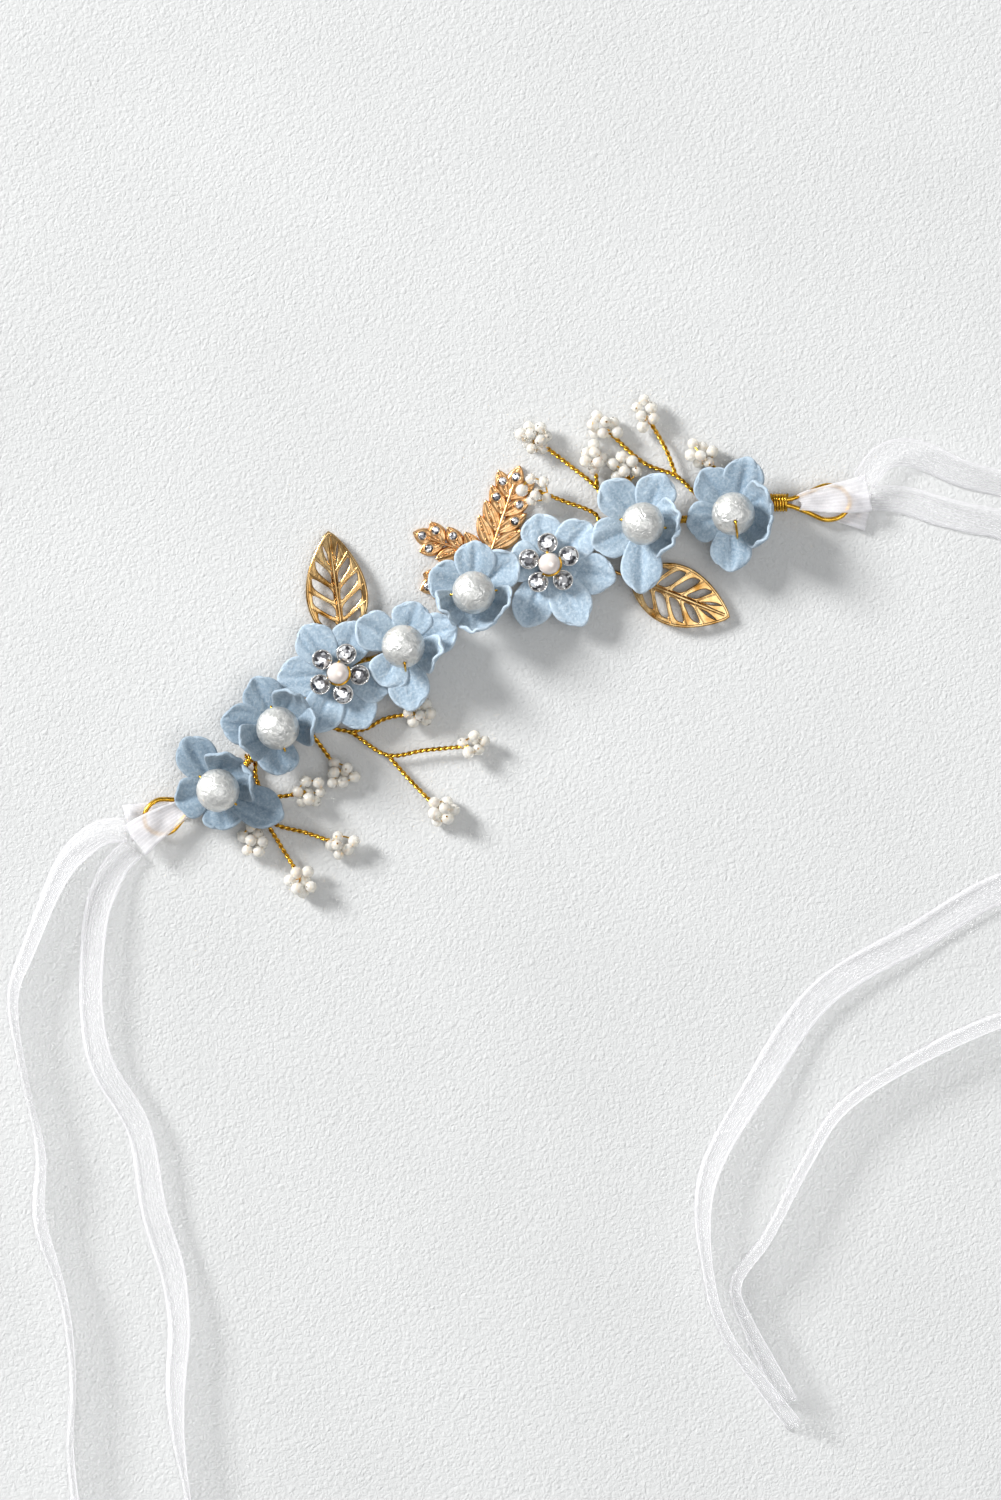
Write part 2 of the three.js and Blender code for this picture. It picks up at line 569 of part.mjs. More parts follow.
// An eye closed round the band, and the round stalk that joins it to its leaf.
function eyeAndStalk(x, foot, height) {
  const { point, direction } = bandAt(x);
  const ring = new THREE.TorusGeometry(EYE_RADIUS, BINDING_RADIUS, 5, 12);
  ring.applyQuaternion(new THREE.Quaternion().setFromUnitVectors(UP, direction));
  ring.translate(point.x, point.y, point.z);
  const end = new THREE.Vector3(...foot, height);
  const side = new THREE.Vector3(-direction.y, direction.x, 0);
  if (side.dot(end.clone().sub(point)) < 0) side.negate();
  const start = point.clone().addScaledVector(side, EYE_RADIUS + STALK_INSET);
  const away = point.clone().addScaledVector(side, EYE_RADIUS + STALK_BEND).setZ((BAND_HEIGHT + height) / 2);
  const beyond = end.clone().sub(away).setLength(STALK_OVERLAP).add(end);
  return solidOf(ring).add(roundWire([start, away, end, beyond], STALK_RADIUS, 8));
}

// Blade outline in its own frame: foot at the origin, tip along +X.
function bladeEdge(length, t, side) {
  const across = Math.sin(Math.PI * t ** 0.85) ** 0.8;
  return new THREE.Vector2(t * length, side * across * LEAF_WIDTH / 2);
}

function giltLeaf({ tip, foot, eye }) {
  const run = new THREE.Vector2(tip[0] - foot[0], tip[1] - foot[1]);
  const length = run.length();
  const edge = [];
  for (let i = 0; i <= 10; i += 1) edge.push(bladeEdge(length, i / 10, 1));
  for (let i = 9; i >= 1; i -= 1) edge.push(bladeEdge(length, i / 10, -1));
  const slots = [];
  for (const side of [-1, 1]) {
    for (let vein = 0; vein < LEAF_VEINS; vein += 1) {
      const start = FIRST_SLOT + vein * SLOT_PITCH;
      const outer = Math.abs(bladeEdge(length, start + FIRST_SLOT, side).y) - RIM_WIDTH;
      const cut = SLOT_CORNERS.map(([share, atRim]) => new THREE.Vector2((start + share) * length,
        side * (atRim ? outer : MIDRIB_HALF_WIDTH)));
      slots.push(plate(cut, CUTTER_HEIGHT));
    }
  }
  const blade = plate(edge, LEAF_THICKNESS).subtract(join(slots));
  const heading = THREE.MathUtils.radToDeg(Math.atan2(run.y, run.x));
  const placed = blade.rotate([0, 0, heading]).translate([...foot, LEAF_HEIGHT]);
  return placed.add(eyeAndStalk(eye, foot, LEAF_HEIGHT));
}

// A flat plate with the given outline, centred on z = 0.
function plate(outline, thickness) {
  const clockwise = THREE.ShapeUtils.isClockWise(outline);
  const shape = new THREE.Shape(clockwise ? [...outline].reverse() : outline);
  const slab = new THREE.ExtrudeGeometry(shape, { depth: thickness, bevelEnabled: false });
  slab.translate(0, 0, -thickness / 2);
  return solidOf(slab);
}

function leaflet(at, heading, length, width) {
  const shape = new THREE.Shape();
  for (let i = 0; i < 6; i += 1) {
    const angle = (i / 6) * 2 * Math.PI;
    shape[i ? 'lineTo' : 'moveTo'](length / 2 * (1 + Math.cos(angle)), width / 2 * Math.sin(angle));
  }
  shape.closePath();
  const slab = new THREE.ExtrudeGeometry(shape, { depth: LAUREL_THICKNESS, bevelEnabled: false });
  slab.rotateZ(heading);
  slab.translate(at[0], at[1], 0);
  return solidOf(slab);
}

function castLaurel() {
  const pieces = [disc(LAUREL_HUB_RADIUS, 0, LAUREL_THICKNESS, LAUREL_HUB)];
  for (const { tip, pairs, leaflet: leafletLength } of LAUREL_ARMS) {
    const run = new THREE.Vector2(tip[0] - LAUREL_HUB[0], tip[1] - LAUREL_HUB[1]);
    const length = run.length();
    const heading = Math.atan2(run.y, run.x);
    pieces.push(leaflet(LAUREL_HUB, heading, length, LAUREL_RIB_WIDTH));
    for (let pair = 0; pair < pairs; pair += 1) {
      const along = (FIRST_PAIR + TIP_LEAFLET * (pair / pairs)) * length;
      const at = [LAUREL_HUB[0] + along * Math.cos(heading), LAUREL_HUB[1] + along * Math.sin(heading)];
      for (const side of [-1, 1]) {
        const turn = heading + side * radians(LEAFLET_ANGLE);
        pieces.push(leaflet(at, turn, leafletLength * (1 - LEAFLET_TAPER * pair), LEAFLET_WIDTH));
      }
    }
    const last = [LAUREL_HUB[0] + TIP_LEAFLET * length * Math.cos(heading),
      LAUREL_HUB[1] + TIP_LEAFLET * length * Math.sin(heading)];
    pieces.push(leaflet(last, heading, (1 - TIP_LEAFLET) * length, LEAFLET_WIDTH));
  }
  return join(pieces).add(eyeAndStalk(LAUREL_EYE, LAUREL_HUB, STALK_RADIUS + 0.15));
}

// A strip along a path: its section is a flat rectangle held level across the path.
function strip(points, width, steps) {
  const path = new THREE.CatmullRomCurve3(points, false, 'centripetal');
  const rows = [];
  for (let i = 0; i <= steps; i += 1) {
    const at = path.getPointAt(i / steps);
    const along = path.getTangentAt(i / steps);
    const across = new THREE.Vector3().crossVectors(UP, along).normalize();
    const normal = new THREE.Vector3().crossVectors(along, across);
    const corner = (x, y) => at.clone().addScaledVector(across, x * width / 2)
      .addScaledVector(normal, y * RIBBON_THICKNESS / 2);
    rows.push([corner(-1, -1), corner(1, -1), corner(1, 1), corner(-1, 1)]);
  }
  return loft(rows);
}

// The ribbon's middle: it comes up through the loop and turns back over the loop's tip.
function ribbonFold(end) {
  const rows = [];
  for (let i = 0; i <= FOLD_STEPS; i += 1) {
    const angle = -Math.PI / 2 - Math.PI * (i / FOLD_STEPS);
    const section = [];
    for (const [across, out] of [[-1, -1], [1, -1], [1, 1], [-1, 1]]) {
      const radius = FOLD_RADIUS + out * RIBBON_THICKNESS / 2;
      section.push(endPoint(end, end.length + radius * Math.cos(angle), across * FOLD_WIDTH / 2,
        BAND_HEIGHT + radius * Math.sin(angle)));
    }
    rows.push(section);
  }
  return loft(rows);
}

const crown = new THREE.Group();
crown.name = 'flower_crown';

function add(name, solid, finish) {
  const mesh = new THREE.Mesh(geometryOf(solid), new THREE.MeshStandardMaterial(FINISH[finish]));
  mesh.name = name;
  crown.add(mesh);
}

add('band_wire', bandWire(), 'gold');
for (const [side, end] of Object.entries(ENDS)) add(`loop_binding_${side}`, loopBinding(end), 'gold');
FLOWERS.forEach((own, number) => {
  const label = number + 1;
  const ringed = own.ring !== undefined;
  const pearl = ringed ? CENTRE_PEARL : PEARL;
  add(`flower_${label}`, flower(number), 'petal');
  add(`pearl_${label}`, threadedPearl(own, pearl), ringed ? 'smallPearl' : 'pearl');
  add(`pearl_pin_${label}`, pearlPin(own, pearl, bandAt(own.at[0]).direction), 'gold');
  if (ringed) {
    add(`stone_ring_${label}`, stoneRing(own), 'silver');
    ringSpots(own).forEach((spot, i) => add(`crystal_${label}_${i + 1}`, crystal(spot), 'crystal'));
  }
});
for (const [name, own] of Object.entries(SPRIGS)) add(name, sprig(own), 'bead');
for (const [name, own] of Object.entries(LEAVES)) add(name, giltLeaf(own), 'gold');
add('cast_laurel', castLaurel(), 'rose');
for (const [side, end] of Object.entries(ENDS)) add(`ribbon_${side}_fold`, ribbonFold(end), 'ribbon');
for (const [name, points] of Object.entries(TAILS)) {
  const path = points.map((point) => new THREE.Vector3(...point));
  add(name, strip(path, RIBBON_WIDTH, TAIL_STEPS), 'ribbon');
}

export default crown;
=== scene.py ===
import math
import random

import bpy
from mathutils import Matrix, Vector, noise


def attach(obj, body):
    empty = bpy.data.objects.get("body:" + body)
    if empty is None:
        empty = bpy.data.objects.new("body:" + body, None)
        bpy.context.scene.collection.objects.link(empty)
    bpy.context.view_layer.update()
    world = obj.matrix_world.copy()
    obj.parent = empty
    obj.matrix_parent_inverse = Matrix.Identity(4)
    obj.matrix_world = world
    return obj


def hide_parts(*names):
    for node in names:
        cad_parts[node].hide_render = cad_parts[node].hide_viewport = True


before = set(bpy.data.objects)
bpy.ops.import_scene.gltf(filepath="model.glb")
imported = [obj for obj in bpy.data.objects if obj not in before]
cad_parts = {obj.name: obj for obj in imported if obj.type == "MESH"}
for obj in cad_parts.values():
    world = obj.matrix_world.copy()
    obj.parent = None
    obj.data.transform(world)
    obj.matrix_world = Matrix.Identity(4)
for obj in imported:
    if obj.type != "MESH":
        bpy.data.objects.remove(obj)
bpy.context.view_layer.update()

MM = 0.001
UP = Vector((0, 0, 1))
CROWN = "crown"

# Millimetres. Places and heights are the CAD's; petals, pins and bores differ from it by up to 0.3
BAND_RADIUS, BAND_HEIGHT = 0.55, 2.3
FLOWER_BACK = 3.5
PETAL_ROOT, PETAL_ROOT_HEIGHT, PETAL_WIDTH = 2.0, 0.9, 9.9
RISE = {"flat": (12, 6), "low": (6, -1), "cup": (14, 92)}
COTTON = {"radius": 5.0, "height": 7.4, "hug_end": 52}
CENTRE = {"radius": 2.5, "height": 6.5, "hug_end": 72}
PIN_RADIUS, PIN_LIFT, PIN_SPREAD = 0.27, 0.7, 0.75
PIN_TURN, STEEP_BORE, STEEP_LEG_START, PIN_ARC_STEP = 9, 40, -125, 30
BORE_RADIUS, BORE_STATIONS = 0.45, (1.06, 0.64, 0, -0.64, -1.06)
LEG_TOP, LEG_IN_HOLE, LEG_LOW, LEG_END = 1.12, 0.2, 1.7, 2.35
RING_RADIUS, RING_FLOOR, RING_STONES = 4.9, 2.3, 5
STEM_LOW, CLUSTER_HEIGHT, FORK_HEIGHT = 1.4, 2.5, 2.0
EYE_RADIUS, LEAF_HEIGHT, LEAF_WIDTH = 1.25, 1.6, 13.6
STRAND_OFFSET, LOOP_NECK, LOOP_HALF_WIDTH = 0.7, 2.2, 4.0
RIBBON_WIDTH, RIBBON_THICKNESS = 7.0, 0.12

# Sizes that only the looks have, in millimetres
PETAL_THICKNESS, RUFFLE = 0.8, {"flat": 0.5, "low": 0.35, "cup": 0.75}
FULL_AT, TIP_ROUNDING = 0.62, 0.44
COTTON_CRINKLE, SMOOTH = 0.1, 0.0
COLLAR_RADIUS, FINE_WIRE, BINDING_WIRE = 2.7, 0.2, 0.3
STONE_RADIUS, STONE_DEPTH = 1.92, 1.45
SLOTS_A_SIDE, FIRST_SLOT, SLOT_PITCH, SLOT_ROUNDING = 5, 0.1, 0.15, 0.34
LEAF_RIM, MIDRIB_GAP = 0.9, 0.65
ROOT_RADIUS, ROOT_PITCH, ROOT_STEPS = 1.3, 0.16, 10
CLUSTER_BEADS, CLUSTER_TRIES, BEAD_SPACING, CLUSTER_SIZE = 13, 4000, 2.4, Vector((3.5, 3.0, 1.6))
TAIL_STATIONS, FOLD_STATIONS, LOWEST_FABRIC = 170, 70, 0.05
TABLE_HALF = 2500

# Flowers from left to right: petals are (azimuth, reach, kind), pin is the bore's azimuth and elevation,
# ring the azimuth of a crystal ring's first cup
FLOWERS = [
    {"at": (-71.2, -7.2), "pin": (117, 0), "petals": [
        (98, 14.7, "flat"), (170, 10.5, "flat"), (254, 9.4, "flat"), (312, 16.5, "flat"),
        (54, 8.6, "cup"), (-10, 8.4, "cup")]},
    {"at": (-52.5, -0.2), "pin": (-98, 8), "petals": [
        (90, 13.2, "flat"), (148, 13.6, "flat"), (182, 9.0, "cup"), (244, 11.0, "flat"),
        (-22, 8.4, "cup"), (40, 8.4, "cup")]},
    {"at": (-34.5, 5.3), "pin": (60, 0), "ring": -30, "petals": [
        (44, 13.0, "low"), (102, 13.9, "low"), (160, 14.4, "low"), (222, 14.9, "low"),
        (272, 14.4, "low"), (320, 13.0, "low")]},
    {"at": (-18.2, 4.4), "pin": (-110, 37), "petals": [
        (126, 12.4, "flat"), (48, 10.9, "flat"), (-4, 13.4, "flat"), (214, 10.5, "flat"),
        (252, 15.2, "flat"), (-40, 8.6, "cup")]},
    {"at": (1.8, 8.6), "pin": (160, 0), "petals": [
        (130, 11.4, "flat"), (62, 12.3, "flat"), (16, 13.2, "flat"), (184, 8.8, "cup"),
        (252, 8.8, "cup"), (-48, 8.4, "cup")]},
    {"at": (20.5, 7.1), "pin": (75, 0), "ring": -3, "petals": [
        (78, 12.1, "low"), (18, 13.7, "low"), (322, 16.0, "low"), (274, 16.5, "low"),
        (222, 15.8, "low"), (148, 9.6, "low")]},
    {"at": (44.0, 6.1), "pin": (144, 0), "petals": [
        (108, 13.5, "flat"), (42, 12.8, "flat"), (177, 12.8, "flat"), (243, 16.2, "flat"),
        (300, 8.4, "cup"), (-10, 8.0, "cup")]},
    {"at": (63.8, -0.8), "pin": (-106, 66), "petals": [
        (98, 12.7, "flat"), (168, 11.0, "flat"), (48, 14.0, "flat"), (4, 9.3, "cup"),
        (304, 9.3, "cup"), (242, 13.5, "flat")]},
]
# How dark each flower's petals are painted: a painted shade for light falling unevenly along the vine, from 0
# for the deepest to 1 for the palest
FLOWER_PAINTED_SHADES = [0.2, 0.3, 0.75, 0.85, 0.8, 1.0, 0.85, 0.5]
# End loops: neck, heading, length of the loop, length and turns of the wire coil before it
ENDS = {
    "left": {"at": (-77.3, -7.1), "heading": 180, "length": 12.85, "coil": 2.4, "turns": 3},
    "right": {"at": (76.8, -3.8), "heading": -25.5, "length": 14.4, "coil": 4.2, "turns": 6},
}
# Sprigs: x of the root on the band, lift of the tips, then each branch as (x, y) points
SPRIGS = {
    "sprig_left_tip": (-65.4, 0, [
        [(-65, -10), (-64.8, -16.7), (-62.3, -20.6), (-57.5, -24.6), (-51.5, -30.5)],
        [(-64.8, -16.7), (-63.7, -26.8), (-62.9, -33.8)], [(-64.8, -16.7), (-68.3, -20.6)]]),
    "sprig_left_short": (-61.8, 0, [[(-62.3, -8.4), (-62, -12.6), (-58.8, -14.7), (-53.2, -16.2)]]),
    "sprig_left_stub": (-46.8, 0, [[(-46.6, -3.4), (-45.9, -6.1), (-44.2, -15.4)]]),
    "sprig_left_fork": (-43.2, 0, [
        [(-42, -1.6), (-41, -5.6), (-38, -8.1), (-32.4, -16.7), (-24.1, -19.4), (-14.6, -22.9)],
        [(-32.4, -16.7), (-30.2, -24.2), (-27.2, -33.2)],
        [(-38, -8.1), (-34.1, -9), (-29.3, -8.8), (-22, -10.9)]]),
    "sprig_right_low": (33.2, 1.6, [[(34.6, 9.6), (35.4, 12.6), (29.6, 19.2), (25.6, 23.4)]]),
    "sprig_right_fork": (36.6, 0, [
        [(38.6, 10.6), (38.2, 18.2), (34.8, 25.7), (30.2, 34.6)], [(38.2, 18.2), (40.4, 24.2)]]),
    "sprig_right_stub": (49.2, 0, [[(47.6, 9), (45.6, 13.1), (45.9, 18.6)]]),
    "sprig_right_tall": (56.2, 0, [
        [(59.2, 4.4), (57.8, 8.6), (56, 13), (50.7, 18.7), (46, 29.6)],
        [(56, 13), (56.5, 19.5), (55.8, 28.4)]]),
    "sprig_right_tip": (67.5, 0, [[(67.8, 3.6), (65.4, 9), (63.7, 14)]]),
}
# Leaves: tip, foot, x of the eye on the band
LEAVES = {
    "gilt_leaf_left": ((-22.6, 35.9), (-30.6, 10.8), -27.8),
    "gilt_leaf_right": ((52.9, -21.7), (36.6, -4), 28.6),
}
LAUREL_HUB = (8.2, 14.2)
LAUREL_EYE = 11
# Laurel arms: tip, leaflet pairs, leaflet length, and the leaflets (pair, side) that carry a crystal
LAUREL_ARMS = [
    ((24.3, 30.8), 4, 8.4, {(2, -1), (3, -1), (2, 1), (3, 1), (1, -1)}),
    ((-4.8, 27.5), 3, 6.6, {(1, -1), (2, 1), (2, -1)}),
    ((-9.1, 14.7), 4, 6.0, {(3, 1)}),
]
FIRST_PAIR, PAIRS_SPAN, LAUREL_TAPER = 0.12, 0.72, 0.06
LEAFLET_ANGLE, LEAFLET_WIDTH, LEAFLET_HEIGHT = 40, 3.9, 1.25
# Ribbon tails: centreline (x, y) from the loop to the free end, then how far each stretch is turned on edge
TAILS = {
    "ribbon_left_tail_inner": {"start": 1.6, "points": [
        (-95, -10.6), (-101, -13.1), (-106.8, -18.1), (-111.4, -24.1), (-119.7, -40.2), (-123.1, -52.3),
        (-121.9, -70.1), (-126.9, -89), (-129.2, -103.8), (-133, -115.1), (-141.8, -131.9),
        (-147.6, -149.1), (-151, -166), (-146, -182), (-131, -194), (-110, -203), (-84, -214), (-58, -224)],
        "rolls": (20, 35, 30, 25, 45, 75, 60, 30, 20, 20)},
    "ribbon_left_tail_outer": {"start": 4.2, "points": [
        (-94.6, -6.2), (-100, -4.4), (-107.8, -6), (-115, -10.6), (-127.3, -22), (-134.7, -29.5),
        (-140.2, -46.2), (-144.6, -65), (-151.5, -78.9), (-154.3, -96.9), (-160.2, -115.3),
        (-168.6, -131.2), (-174, -150), (-172, -176), (-158, -196), (-136, -210), (-112, -221), (-88, -231)],
        "rolls": (25, 55, 72, 60, 74, 70, 55, 40, 20, 20)},
    "ribbon_right_tail_inner": {"start": 1.2, "points": [
        (94.6, -11), (101.3, -14.7), (107, -20), (113.1, -25), (119.4, -29.8), (133.7, -46.4),
        (142.1, -69.6), (140.6, -90.2), (127.5, -106.4), (106, -112), (83, -106), (62.1, -107.6),
        (35.1, -110.3), (14.1, -121.6), (-8.6, -138.6), (-18.1, -160.8), (-19.2, -172.7),
        (-16.7, -186.2), (-14, -198.1)],
        "rolls": (15, 20, 15, 20, 10, 8, 15, 45, 68, 55)},
    "ribbon_right_tail_outer": {"start": 4.4, "points": [
        (94.6, -6.9), (100, -4.1), (105, -4.3), (109.6, -7.4), (116, -14.8), (124.3, -21.8),
        (139.9, -35), (156.9, -57), (164.2, -86), (155.5, -112), (138, -134), (110, -141),
        (69.9, -133.6), (28.6, -135.7), (14.5, -144.1), (-1.3, -155.7), (-12.6, -162.7),
        (-13.7, -172), (-13, -192.4)],
        "rolls": (15, 35, 25, 15, 15, 30, 62, 68, 70, 50)},
}


# ---------- paths ----------
def catmull(points, count):
    """Evenly spaced points on a centripetal Catmull-Rom curve through the given points."""
    ends = [points[0] * 2 - points[1]] + list(points) + [points[-1] * 2 - points[-2]]
    dense = []
    for i in range(1, len(ends) - 2):
        a, b, c, d = ends[i - 1:i + 3]
        ta = math.sqrt((b - a).length) or 1e-6
        tb = ta + (math.sqrt((c - b).length) or 1e-6)
        tc = tb + (math.sqrt((d - c).length) or 1e-6)
        for step in range(16):
            t = ta + (tb - ta) * step / 16
            ab = a * ((ta - t) / ta) + b * (t / ta)
            bc = b * ((tb - t) / (tb - ta)) + c * ((t - ta) / (tb - ta))
            cd = c * ((tc - t) / (tc - tb)) + d * ((t - tb) / (tc - tb))
            abc = ab * ((tb - t) / tb) + bc * (t / tb)
            bcd = bc * ((tc - t) / (tc - ta)) + cd * ((t - ta) / (tc - ta))
            dense.append(abc * ((tb - t) / (tb - ta)) + bcd * ((t - ta) / (tb - ta)))
    dense.append(points[-1])
    return resample(dense, count)


def resample(points, count):
    """The same path as count equal steps."""
    lengths = [0.0]
    for before, after in zip(points, points[1:]):
        lengths.append(lengths[-1] + (after - before).length)
    result, i = [], 0
    for k in range(count + 1):
        wanted = lengths[-1] * k / count
        while i < len(points) - 2 and lengths[i + 1] < wanted:
            i += 1
        span = lengths[i + 1] - lengths[i] or 1e-9
        result.append(points[i].lerp(points[i + 1], (wanted - lengths[i]) / span))
    return result


def tangents(points):
    last = len(points) - 1
    return [(points[min(i + 1, last)] - points[max(i - 1, 0)]).normalized() for i in range(last + 1)]


def end_point(end, along, across, height=BAND_HEIGHT):
    """A point given along and across the heading of one end of the band."""
    heading = math.radians(end["heading"])
    x, y = end["at"]
    return Vector((x + along * math.cos(heading) - across * math.sin(heading),
                   y + along * math.sin(heading) + across * math.cos(heading), height))


def loop_points(end):
    """The end loop: out along one strand, round its tip and back along the other."""
    length, coil = end["length"], end["coil"]
    outline = [(-coil, STRAND_OFFSET), (0, STRAND_OFFSET), (0.3 * length, LOOP_NECK),
               (0.62 * length, LOOP_HALF_WIDTH), (0.88 * length, 0.74 * LOOP_HALF_WIDTH)]
    going = [end_point(end, s, across) for s, across in outline]
    coming = [end_point(end, s, -across) for s, across in reversed(outline)]
    return going + [end_point(end, length, 0)] + coming


FLOWER_POINTS = [Vector((*f["at"], BAND_HEIGHT)) for f in FLOWERS]
BAND = catmull([end_point(ENDS["left"], -ENDS["left"]["coil"], 0), *FLOWER_POINTS,
                end_point(ENDS["right"], -ENDS["right"]["coil"], 0)], 600)
BAND_WAY = tangents(BAND)


def band_at(x):
    """Place and direction of the band nearest to x."""
    near = min(range(len(BAND)), key=lambda i: abs(BAND[i].x - x))
    return BAND[near], BAND_WAY[near]


def beside(direction, toward):
    """Level unit vector square to a direction, on the side of another vector."""
    side = Vector((-direction.y, direction.x, 0)).normalized()
    return side if side.dot(toward) >= 0 else -side


# ---------- meshes ----------
def add_object(name, data):
    """A new object in the scene round a mesh, curve, camera or lamp."""
    obj = bpy.data.objects.new(name, data)
    bpy.context.scene.collection.objects.link(obj)
    return obj


def mesh_object(name, vertices, faces, material, smooth=True):
    """A new mesh object, from vertices in millimetres."""
    mesh = bpy.data.meshes.new(name)
    mesh.from_pydata([v * MM for v in vertices], [], faces)
    mesh.polygons.foreach_set("use_smooth", [smooth] * len(mesh.polygons))
    mesh.materials.append(material)
    return add_object(name, mesh)


def paint(obj, **values):
    """Stores one number a vertex under each name, for the materials to read."""
    for name, numbers in values.items():
        obj.data.attributes.new(name, "FLOAT", "POINT").data.foreach_set("value", numbers)


def wires(name, paths, radius, material, resolution=3):
    """One curve object whose splines follow the paths."""
    curve = bpy.data.curves.new(name, "CURVE")
    curve.dimensions = "3D"
    curve.bevel_depth = radius * MM
    curve.bevel_resolution = resolution
    curve.use_fill_caps = True
    for path in paths:
        spline = curve.splines.new("POLY")
        spline.points.add(len(path) - 1)
        for point, at in zip(spline.points, path):
            point.co = (*(at * MM), 1)
        spline.use_smooth = True
    curve.materials.append(material)
    return add_object(name, curve)


def lathe(profile, sides):
    """Vertices and faces of a turned profile of (radius, height) about Z."""
    vertices = [Vector((r * math.cos(a), r * math.sin(a), z)) for r, z in profile
                for a in (2 * math.pi * i / sides for i in range(sides))]
    faces = [(row * sides + i, row * sides + (i + 1) % sides, (row + 1) * sides + (i + 1) % sides,
              (row + 1) * sides + i) for row in range(len(profile) - 1) for i in range(sides)]
    return vertices, faces


def metal_grain():
    """A small round grain of metal."""
    radius, rings, sides = 0.24, 6, 8
    profile = [(max(radius * math.sin(math.pi * i / rings), 1e-3), -radius * math.cos(math.pi * i / rings))
               for i in range(rings + 1)]
    return lathe(profile, sides)


def grid_faces(rows, columns):
    """Quads of a grid whose points are listed row by row."""
    wide = columns + 1
    return [(i * wide + k, i * wide + k + 1, (i + 1) * wide + k + 1, (i + 1) * wide + k)
            for i in range(rows) for k in range(columns)]


def gather(parts):
    """Joins (vertices, faces) pairs into one pair."""
    vertices, faces = [], []
    for more, rings in parts:
        base = len(vertices)
        vertices.extend(more)
        faces.extend(tuple(base + i for i in face) for face in rings)
    return vertices, faces


def moved(part, at, turn=None):
    vertices, faces = part
    return [(turn @ v if turn else v) + at for v in vertices], faces


def show(obj, body=CROWN, nodes=()):
    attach(obj, body)
    if nodes:
        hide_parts(*nodes)
    return obj


# ---------- materials ----------
class Nodes:
    """A short way to write a node material on the object's own coordinates."""

    def __init__(self, name):
        self.material = bpy.data.materials.new(name)
        self.material.use_nodes = True
        self.tree = self.material.node_tree
        self.shader = self.tree.nodes["Principled BSDF"]
        self.place = self.tree.nodes.new("ShaderNodeTexCoord").outputs["Object"]

    def node(self, kind, inputs=None, **settings):
        made = self.tree.nodes.new(kind)
        for key, value in settings.items():
            setattr(made, key, value)
        for key, value in (inputs or {}).items():
            self.join(value, made.inputs[key])
        return made

    def join(self, value, socket):
        if isinstance(value, bpy.types.NodeSocket):
            self.tree.links.new(value, socket)
        else:
            socket.default_value = value

    def noise(self, scale, detail=4.0, rough=0.55, distortion=0.0):
        return self.node("ShaderNodeTexNoise", {"Vector": self.place, "Scale": scale, "Detail": detail,
                                                "Roughness": rough, "Distortion": distortion}).outputs[0]

    def cells(self, scale, feature="F1"):
        made = self.node("ShaderNodeTexVoronoi", {"Vector": self.place, "Scale": scale}, feature=feature)
        return made.outputs["Distance"]

    def ramp(self, value, stops):
        made = self.node("ShaderNodeValToRGB", {"Fac": value})
        while len(made.color_ramp.elements) < len(stops):
            made.color_ramp.elements.new(0.5)
        for element, (place, colour) in zip(made.color_ramp.elements, stops):
            element.position = place
            element.color = (*colour, 1)
        return made.outputs[0]

    def mix(self, amount, first, second, blend="MIX"):
        made = self.node("ShaderNodeMix", data_type="RGBA", blend_type=blend)
        self.join(amount, made.inputs[0])
        self.join(first, made.inputs[6])
        self.join(second, made.inputs[7])
        return made.outputs[2]

    def span(self, value, low, high):
        return self.node("ShaderNodeMapRange", {"Value": value, "To Min": low, "To Max": high}).outputs[0]

    def attribute(self, name):
        return self.node("ShaderNodeAttribute", attribute_name=name).outputs["Fac"]

    def bump(self, height, strength, distance):
        return self.node("ShaderNodeBump", {"Height": height, "Strength": strength,
                                            "Distance": distance * MM}).outputs[0]

    def set(self, **inputs):
        for key, value in inputs.items():
            self.join(value, self.shader.inputs[key.replace("_", " ")])
        return self.material


def petal_material():
    m = Nodes("velvety_blue_petal")
    grain = m.noise(1500, 5, 0.7)
    body = m.ramp(grain, [(0.34, (0.24, 0.34, 0.44)), (0.5, (0.42, 0.54, 0.65)), (0.64, (0.74, 0.82, 0.88))])
    # Painted shade: petals darker along their central fold and the sunk streaks
    crease_shade_colour = m.ramp(m.attribute("crease"), [(0.0, (0.15, 0.24, 0.33)), (1.0, (0.52, 0.64, 0.74))])
    mixed = m.mix(0.5, body, crease_shade_colour)
    # Painted highlight: petals paler along their edges and tips, where the light catches them
    edge_highlighted = m.mix(m.span(m.attribute("rim"), 0, 0.6), mixed, (0.64, 0.75, 0.84, 1))
    # Painted shade: each whole flower is darkened by its value in the flower shade list
    shade = m.ramp(m.attribute("dye"), [(0.0, (0.50, 0.54, 0.57)), (1.0, (1.0, 1.0, 1.0))])
    colour = m.mix(1.0, edge_highlighted, shade, "MULTIPLY")
    return m.set(Base_Color=colour, Roughness=m.span(grain, 0.75, 0.95), Sheen_Weight=0.2,
                 Sheen_Roughness=0.5, Normal=m.bump(grain, 0.9, 0.3))


def cotton_pearl_material():
    m = Nodes("crinkled_cotton_pearl")
    crinkle = m.noise(430, 5, 0.5, 2.4)
    creases = m.cells(520, "DISTANCE_TO_EDGE")
    height = m.mix(0.35, crinkle, creases)
    colour = m.ramp(crinkle, [(0.36, (0.62, 0.63, 0.61)), (0.48, (0.72, 0.72, 0.70)),
                              (0.6, (0.80, 0.80, 0.77))])
    return m.set(Base_Color=colour, Metallic=0.62, Roughness=m.span(creases, 0.38, 0.26), Coat_Weight=0.3,
                 Coat_Roughness=0.16, Normal=m.bump(height, 0.9, 0.62))


